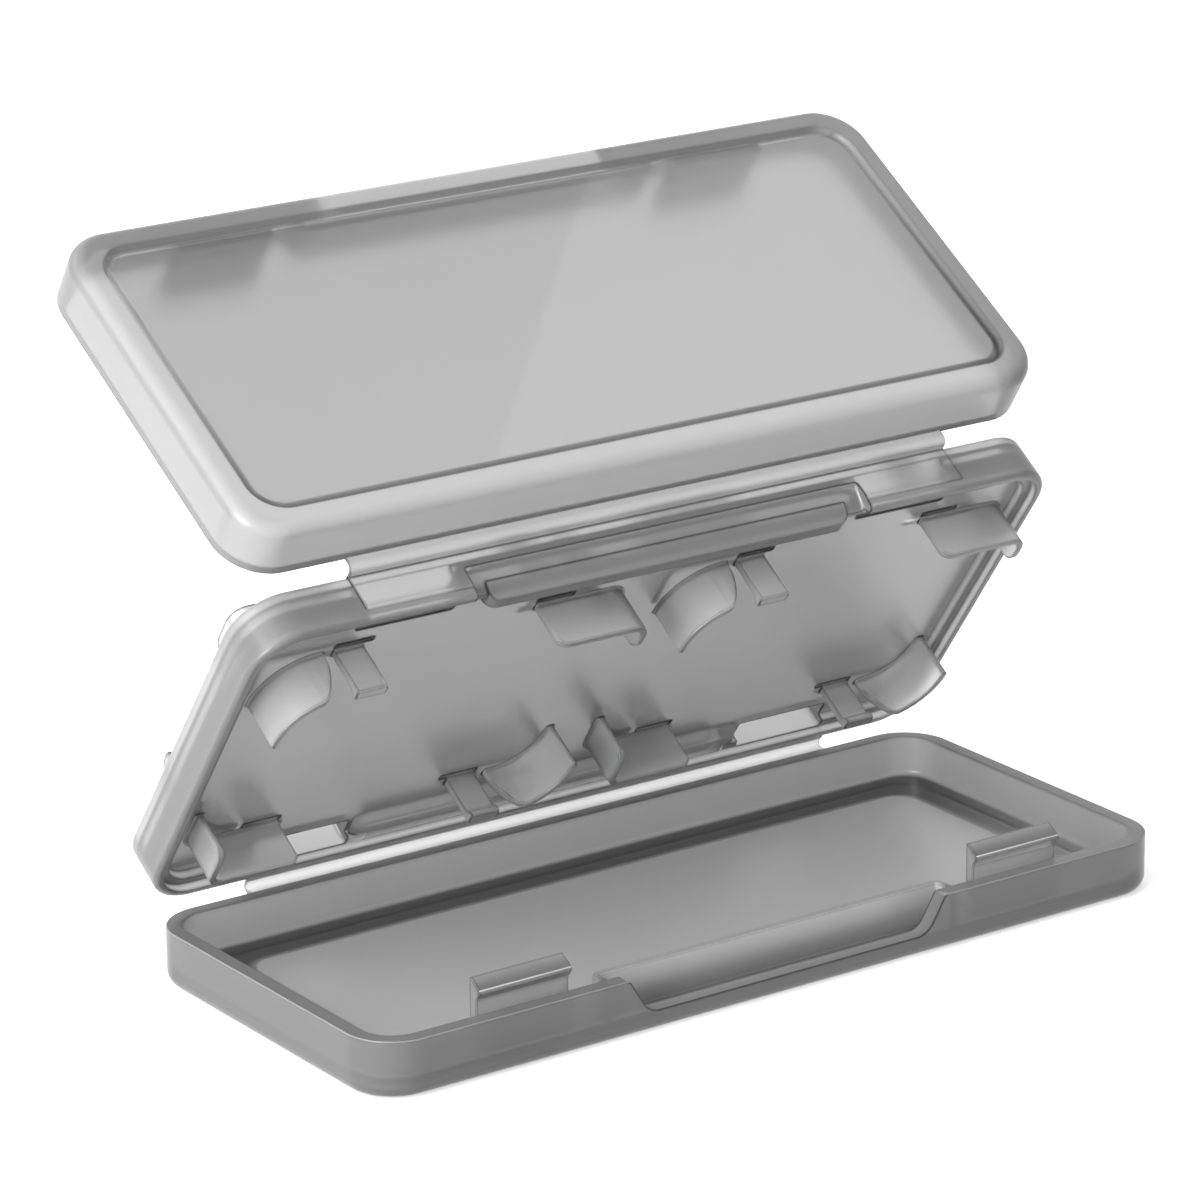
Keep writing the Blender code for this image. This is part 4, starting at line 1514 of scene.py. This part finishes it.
@dataclass(frozen=True)
class MouldedPolypropylene:
    """Smoke-tinted polypropylene, injection moulded in a spark-eroded tool.

    The plastic lets light through and scatters it, so thick rims go dark, thin films stay bright,
    and the eroded skin gives a soft satin sheen with no sharp reflection. The colours named for a
    zone show where the moulding's points carry that zone's weight; besides the polished panel they
    are painted light and painted shade. Lengths are in metres, and absorption is per metre of plastic.
    """

    name: str = "smoke_polypropylene_moulded"
    colour: str = "E4E4E4"
    shade: str = "DCDCDC"
    panel_colour: str = "C6C6C6"
    # Colour of the faces and uprights that are painted paler as painted light.
    lit_face_colour: str = "F6F6F6"
    # Colour of the painted shade in the tray's channel and on the catches' tops.
    channel_shade_colour: str = "484848"
    # Colour of the hinge strips painted paler as painted light.
    strip_light_colour: str = "F4F4F4"
    # Colour of the painted shade in the groove round the panel.
    groove_shade_colour: str = "545454"
    # Colour of the painted shade along sharp edges.
    edge_shade_colour: str = "484848"
    # Painted highlight on the rim's edge and the catches' lips, and how far it cuts the light let through.
    highlight_colour: str = "FFFFFF"
    highlight_share: float = 0.85
    ior: float = 1.49
    transmission: float = 0.8
    absorption: float = 480.0
    roughness: float = 0.3
    roughness_spread: float = 0.15
    coat: float = 0.65
    polished_roughness: float = 0.03
    cloud: float = 9.0 * MM
    grain: float = 0.22 * MM
    grain_depth: float = 0.004 * MM
    grain_strength: float = 0.35
    soft_edge: float = 0.07 * MM
    edge_reach: float = 0.36 * MM
    edge_strength: float = 11.0

    def zone_tint(self, tree: bpy.types.NodeTree, place: bpy.types.NodeSocket) -> bpy.types.NodeSocket:
        """Return the plastic's colour, with the colours of its zones over it."""
        # Flow of the melt leaves the tint a little uneven over about a centimetre.
        cloud = add_node(tree, "ShaderNodeTexNoise", {"Vector": place},
                         {"Scale": 1.0 / self.cloud, "Detail": 3.0, "Roughness": 0.55})
        mix = add_node(tree, "ShaderNodeMix", {0: cloud.outputs[0]},
                       {6: linear(self.colour), 7: linear(self.shade)}, data_type="RGBA")
        tint = mix.outputs[2]
        # Colours of the zones: all but the polished panel's are painted light and painted shade.
        colours = {
            Zone.POLISHED: self.panel_colour,
            Zone.FINE: self.lit_face_colour,
            Zone.CLEAR: self.channel_shade_colour,
            Zone.STRIP_LIGHT: self.strip_light_colour,
            Zone.GROOVE_SHADE: self.groove_shade_colour,
        }
        for zone, colour in colours.items():
            tint = tinted(tree, tint, colour, zone_weight(tree, zone))
        return tint

    def edge_shade_share(self, tree: bpy.types.NodeTree) -> bpy.types.NodeSocket:
        """Return how near a sharp edge a place is, from how far the rounded normal turns away; it sets the
        painted edge shade.
        """
        wide = add_node(tree, "ShaderNodeBevel", inputs={"Radius": self.edge_reach}, samples=8)
        shape = add_node(tree, "ShaderNodeNewGeometry")
        likeness = add_node(tree, "ShaderNodeVectorMath",
                            {0: wide.outputs[0], 1: shape.outputs["Normal"]}, operation="DOT_PRODUCT")
        share = add_node(tree, "ShaderNodeMapRange", {"Value": likeness.outputs["Value"]},
                         {"From Min": 1.0 - 1.0 / self.edge_strength, "From Max": 1.0,
                          "To Min": 1.0, "To Max": 0.0})
        return share.outputs[0]

    def skin(self, tree: bpy.types.NodeTree,
             place: bpy.types.NodeSocket) -> tuple[bpy.types.NodeSocket, bpy.types.NodeSocket]:
        """Return the roughness and the relief of the eroded skin with its soft edges."""
        # The eroded grain is about 0.05 mm on the real skin, drawn coarser here so that it shows.
        grain = add_node(tree, "ShaderNodeTexNoise", {"Vector": place},
                         {"Scale": 1.0 / self.grain, "Detail": 4.0, "Roughness": 0.6})
        spread = add_node(tree, "ShaderNodeMapRange", {"Value": grain.outputs[0]},
                          {"To Min": self.roughness * (1.0 - self.roughness_spread),
                           "To Max": self.roughness * (1.0 + self.roughness_spread)})
        edge = add_node(tree, "ShaderNodeBevel", inputs={"Radius": self.soft_edge}, samples=4)
        relief = add_node(tree, "ShaderNodeBump",
                          {"Height": grain.outputs[0], "Normal": edge.outputs[0]},
                          {"Strength": self.grain_strength, "Distance": self.grain_depth})
        return spread.outputs[0], relief.outputs[0]

    def build(self) -> bpy.types.Material:
        """Return the material."""
        material = new_material(self.name)
        tree = material.node_tree
        place = add_node(tree, "ShaderNodeTexCoord").outputs["Object"]
        # Painted shade: sharp edges are painted darker as outlines, standing for light that the plastic
        # traps along them.
        tint = tinted(tree, self.zone_tint(tree, place), self.edge_shade_colour, self.edge_shade_share(tree))
        # Painted highlight: the rim's outer edge and the catches' lips are painted white, with less light
        # let through, as a thin bright line.
        highlight_weight = zone_weight(tree, Zone.EDGE_HIGHLIGHT)
        tint = tinted(tree, tint, self.highlight_colour, highlight_weight)
        through = add_node(tree, "ShaderNodeMapRange", {"Value": highlight_weight},
                           {"To Min": self.transmission,
                            "To Max": self.transmission * (1.0 - self.highlight_share)})
        coat = add_node(tree, "ShaderNodeMath", {0: zone_weight(tree, Zone.POLISHED)}, {1: self.coat},
                        operation="MULTIPLY")
        roughness, relief = self.skin(tree, place)
        surface = add_node(tree, "ShaderNodeBsdfPrincipled",
                           {"Base Color": tint, "Roughness": roughness, "Normal": relief,
                            "Coat Weight": coat.outputs[0], "Transmission Weight": through.outputs[0]},
                           {"IOR": self.ior, "Coat Roughness": self.polished_roughness})
        inside = add_node(tree, "ShaderNodeVolumeAbsorption",
                          inputs={"Color": (0.0, 0.0, 0.0, 1.0), "Density": self.absorption})
        add_node(tree, "ShaderNodeOutputMaterial",
                 {"Surface": surface.outputs[0], "Volume": inside.outputs[0]})
        return material


@dataclass(frozen=True)
class PaperFloor:
    """White studio paper: it shows as white and keeps the shadow of what stands on it."""

    name: str = "white_paper_sweep"
    colour: str = "E2E2E2"
    bounce_colour: str = "A8A8A8"
    lift: float = 0.5

    def build(self) -> bpy.types.Material:
        """Return the material, whose lift is seen but lights nothing and which bounces less light."""
        material = new_material(self.name)
        tree = material.node_tree
        path = add_node(tree, "ShaderNodeLightPath").outputs
        colour = add_node(tree, "ShaderNodeMix", {0: path["Is Camera Ray"]},
                          {6: linear(self.bounce_colour), 7: linear(self.colour)}, data_type="RGBA")
        paper = add_node(tree, "ShaderNodeBsdfDiffuse", {"Color": colour.outputs[2]})
        lift = add_node(tree, "ShaderNodeMath", {0: path["Is Camera Ray"]}, {1: self.lift},
                        operation="MULTIPLY")
        mirrored = larger(tree, path["Is Glossy Ray"], path["Is Transmission Ray"])
        glow = add_node(tree, "ShaderNodeEmission", {"Strength": larger(tree, lift.outputs[0], mirrored)},
                        {"Color": (1.0, 1.0, 1.0, 1.0)})
        both = add_node(tree, "ShaderNodeAddShader", {0: paper.outputs[0], 1: glow.outputs[0]})
        add_node(tree, "ShaderNodeOutputMaterial", {"Surface": both.outputs[0]})
        return material


# Studio


@dataclass
class Lamp:
    """One soft area lamp aimed at the case."""

    name: str
    place: tuple[float, float, float]
    size: tuple[float, float]
    power: float

    def build(self, target: Vector) -> None:
        """Add the lamp, facing the target."""
        data = bpy.data.lights.new(self.name, "AREA")
        data.shape = "RECTANGLE"
        data.size, data.size_y = self.size
        data.energy = self.power
        lamp = add_object(self.name, data)
        lamp.location = self.place
        lamp.rotation_euler = (target - lamp.location).to_track_quat("-Z", "Y").to_euler()


@dataclass
class GlossFlag:
    """A black card that only reflections see, so that its edge draws a diagonal on the cover."""

    far_x: float = 11.2 * MM
    near_x: float = -15.5 * MM
    distance: float = 0.3
    margin: float = 0.6
    colour: str = "0A0A0A"

    def corners(self, cover: Matrix, shell: ShellMoulding, eye: Vector) -> list[Vector]:
        """Work out where the card stands.

        Args:
            cover: the cover's frame, whose underside is its outside.
            shell: the cover's shape.
            eye: the camera's place.

        Returns:
            The card's corners; the camera sees the first side mirrored in the cover's panel.
        """
        normal = cover.to_3x3() @ Vector((0.0, 0.0, -1.0))
        half = shell.plan.depth / 2 - shell.panel_inset
        ends = []
        for x, y in ((self.far_x, -half), (self.near_x, half)):
            spot = cover @ Vector((x, y, shell.panel_depth))
            sight = (spot - eye).normalized()
            mirrored = sight - 2 * sight.dot(normal) * normal
            ends.append(spot + mirrored * self.distance)
        along = (ends[1] - ends[0]).normalized()
        middle = (ends[0] + ends[1]) / 2
        facing = (middle - cover.translation).normalized()
        away = along.cross(facing).normalized()
        if away.x > 0.0:
            away = -away
        return [
            middle - along * self.margin,
            middle + along * self.margin,
            middle + along * self.margin + away * self.margin,
            middle - along * self.margin + away * self.margin,
        ]

    def build(self, cover: Matrix, shell: ShellMoulding, eye: Vector) -> None:
        """Add the card where the camera sees its edge mirrored in the cover's outside.

        Args:
            cover: the cover's frame, whose underside is its outside.
            shell: the cover's shape.
            eye: the camera's place.
        """
        mesh = bpy.data.meshes.new("gloss_flag")
        mesh.from_pydata(self.corners(cover, shell, eye), [], [(0, 1, 2, 3)])
        material = new_material("black_velvet_card")
        tree = material.node_tree
        velvet = add_node(tree, "ShaderNodeBsdfDiffuse", inputs={"Color": linear(self.colour)})
        add_node(tree, "ShaderNodeOutputMaterial", {"Surface": velvet.outputs[0]})
        mesh.materials.append(material)
        card = add_object("gloss_flag", mesh)
        card.visible_camera = False
        card.visible_diffuse = False
        card.visible_transmission = False
        card.visible_shadow = False


@dataclass
class Studio:
    """Camera, lamps, white surroundings and the paper that the case stands on."""

    azimuth: float = -35.5
    elevation: float = 18.11
    roll: float = -0.265
    distance: float = 424.6 * MM
    target: tuple[float, float, float] = (-8.1 * MM, -9.05 * MM, 30.17 * MM)
    focal_length: float = 164.8
    sensor_width: float = 36.0
    nearest: float = 0.01
    farthest: float = 20.0
    ambient_low: float = 0.05
    ambient_high: float = 1.15
    ambient_from: tuple[float, float, float] = (-0.45, 0.2, 0.87)
    ambient_start: float = -0.4
    floor_half: float = 3.0
    floor_drop: float = 2 * NEAR
    lamp_target: tuple[float, float, float] = (0.0, 0.0, 25.0 * MM)
    lamps: list[Lamp] = field(default_factory=lambda: [
        Lamp("key_softbox", (-0.6, -0.1, 0.65), (0.6, 0.6), 4.8),
        Lamp("top_softbox", (-0.35, 0.35, 0.72), (0.9, 0.7), 3.0),
        Lamp("left_softbox", (-0.72, -0.25, 0.18), (0.4, 0.4), 6.0),
    ])

    def backward(self) -> Vector:
        """Direction from the case to the camera."""
        turn, rise = math.radians(self.azimuth), math.radians(self.elevation)
        return Vector((math.sin(turn) * math.cos(rise), -math.cos(turn) * math.cos(rise), math.sin(rise)))

    def eye(self) -> Vector:
        """Place of the camera."""
        return Vector(self.target) + self.backward() * self.distance

    def camera(self) -> None:
        """Add the camera at the photograph's viewpoint."""
        turn, lean = math.radians(self.azimuth), math.radians(self.roll)
        back = self.backward()
        level = Vector((math.cos(turn), math.sin(turn), 0.0))
        upright = back.cross(level)
        right = level * math.cos(lean) + upright * math.sin(lean)
        up = upright * math.cos(lean) - level * math.sin(lean)
        data = bpy.data.cameras.new("camera")
        data.sensor_width = self.sensor_width
        data.lens = self.focal_length
        data.clip_start = self.nearest
        data.clip_end = self.farthest
        camera = add_object("camera", data)
        facing = Matrix((right, up, back)).transposed().to_4x4()
        camera.matrix_world = Matrix.Translation(self.eye()) @ facing
        bpy.context.scene.camera = camera

    def surroundings(self) -> None:
        """Light the case evenly, and show white to the camera and in reflections."""
        world = bpy.data.worlds.new("white_studio")
        bpy.context.scene.world = world
        world.use_nodes = True
        tree = world.node_tree
        tree.nodes.clear()
        path = add_node(tree, "ShaderNodeLightPath").outputs
        seen = larger(tree, path["Is Camera Ray"], path["Is Glossy Ray"])
        seen = larger(tree, seen, path["Is Transmission Ray"])
        # Diffuse light comes mostly from above the table and from the left, as in the photograph.
        place = add_node(tree, "ShaderNodeTexCoord")
        towards = add_node(tree, "ShaderNodeVectorMath", {0: place.outputs["Generated"]},
                           {1: self.ambient_from}, operation="DOT_PRODUCT")
        ambient = add_node(tree, "ShaderNodeMapRange", {"Value": towards.outputs["Value"]},
                           {"From Min": self.ambient_start, "From Max": 1.0,
                            "To Min": self.ambient_low, "To Max": self.ambient_high})
        sky = add_node(tree, "ShaderNodeBackground",
                       {"Strength": larger(tree, seen, ambient.outputs[0])},
                       {"Color": (1.0, 1.0, 1.0, 1.0)})
        add_node(tree, "ShaderNodeOutputWorld", {"Surface": sky.outputs[0]})

    def floor(self) -> None:
        """Add the paper under the case."""
        mesh = bpy.data.meshes.new("paper")
        half = self.floor_half
        low = -self.floor_drop
        corners = [(-half, -half, low), (half, -half, low), (half, half, low), (-half, half, low)]
        mesh.from_pydata(corners, [], [(0, 1, 2, 3)])
        mesh.materials.append(PaperFloor().build())
        paper = add_object("paper", mesh)

    def build(self) -> None:
        """Set up everything round the case."""
        self.camera()
        self.surroundings()
        self.floor()
        for lamp in self.lamps:
            lamp.build(Vector(self.lamp_target))
        bpy.context.scene.view_settings.view_transform = "Standard"


# The case


@dataclass
class CardCase:
    """The whole case: two shells, the middle leaf and the two hinge films."""

    plan: LeafPlan = field(default_factory=LeafPlan)
    clips: CardClips = field(default_factory=CardClips)

    def __post_init__(self) -> None:
        """Set up the tray's shape and work out where the leaves stand."""
        self.shell = ShellMoulding(self.plan)
        self.frames = CaseFrames(self.plan, self.shell.height)

    def clip_nodes(self) -> list[str]:
        """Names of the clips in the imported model."""
        ends = ("lower", "upper")
        kinds = ("corner_clip", "tab", "angle_clip")
        return [
            f"{face}_{side}_{end}_{kind}"
            for face in ("front", "back") for side in ("left", "right") for end in ends for kind in kinds
        ]

    def shell_nodes(self, name: str) -> list[str]:
        """Names of a shell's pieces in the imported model."""
        return [f"{name}_shell", f"{name}_guard_wall", f"{name}_catch_left", f"{name}_catch_right"]

    def settle(self, piece: bpy.types.Object, nodes: Sequence[str]) -> None:
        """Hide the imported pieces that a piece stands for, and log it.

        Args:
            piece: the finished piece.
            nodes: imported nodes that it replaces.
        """
        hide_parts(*nodes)
        LOG.info("%s: %d faces, stands for %d nodes", piece.name, len(piece.data.polygons), len(nodes))

    def build(self) -> None:
        """Build every moulding and hang it on its body, then build the hinge films."""
        # The three mouldings are one plastic: the leaf keeps the plain finish, the tray's copy is painted
        # darker as painted shade and the cover's copy paler as painted light.
        satin = MouldedPolypropylene().build()
        shaded_tray_finish = MouldedPolypropylene(
            name="smoke_polypropylene_painted_shade", colour="C6C6C6", shade="BEBEBE", lit_face_colour="FFFFFF").build()
        lit_cover_finish = MouldedPolypropylene(
            name="smoke_polypropylene_painted_light", colour="F0F0F0", shade="E8E8E8").build()
        frames = self.frames
        # The cover's field hardly rises, because its step would show through the polished panel.
        smooth_shell = replace(self.shell, field_rise=NEAR)
        tray = self.shell.build("tray_moulding", frames.tray, shaded_tray_finish, has_channel=True)
        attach(tray, "base_tray")
        self.settle(tray, self.shell_nodes("tray"))
        cover = smooth_shell.build("cover_moulding", frames.cover, lit_cover_finish, has_channel=False)
        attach(cover, "cover")
        self.settle(cover, self.shell_nodes("cover"))
        leaf = MiddleLeaf(self.plan, self.clips).build("middle_leaf_moulding", frames.front, satin)
        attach(leaf, "middle_leaf")
        nodes = ["middle_plate", "front_thumb_tongue", "back_thumb_tongue", *self.clip_nodes()]
        self.settle(leaf, nodes)
        self.build_films()

    def build_films(self) -> None:
        """Build both living hinges, which bend between their two bodies."""
        frames = self.frames
        # Both films are one plastic of one thickness: the tray's is painted pale as painted light, the
        # cover's darker as painted shade.
        lit_film_finish = MouldedPolypropylene(
            name="film_polypropylene_painted_light", colour="FAFAFA", shade="F2F2F2", edge_shade_colour="E8E8E8").build()
        shaded_film_finish = MouldedPolypropylene(
            name="film_polypropylene_painted_shade", colour="C6C6C6", shade="BEBEBE", edge_shade_colour="B4B4B4").build()
        turn = frames.lower_opening
        leaf_up = Vector((0.0, -math.cos(turn), math.sin(turn)))
        leaf_back = Vector((0.0, math.sin(turn), math.cos(turn)))
        lower = HingeFilm(frames.lower_hinge, Vector((0.0, -1.0, 0.0)), Vector((0.0, 0.0, 1.0)), turn)
        film = lower.build("tray_hinge_film", lit_film_finish)
        start, end = lower.crossing()
        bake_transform(film)
        self.settle(film, ["tray_hinge_web"])
        upper = HingeFilm(frames.upper_hinge, -leaf_up, leaf_back, frames.upper_opening)
        film = upper.build("cover_hinge_film", shaded_film_finish)
        start, end = upper.crossing()
        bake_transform(film)
        self.settle(film, ["cover_hinge_web"])


def main() -> None:
    """Build the studio, the case and the gloss flag."""
    logging.basicConfig(level=logging.INFO, format="%(name)s: %(message)s")
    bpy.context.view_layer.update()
    studio = Studio()
    studio.build()
    case = CardCase()
    case.build()
    GlossFlag().build(case.frames.cover, case.shell, studio.eye())


if __name__ == "__main__":
    main()
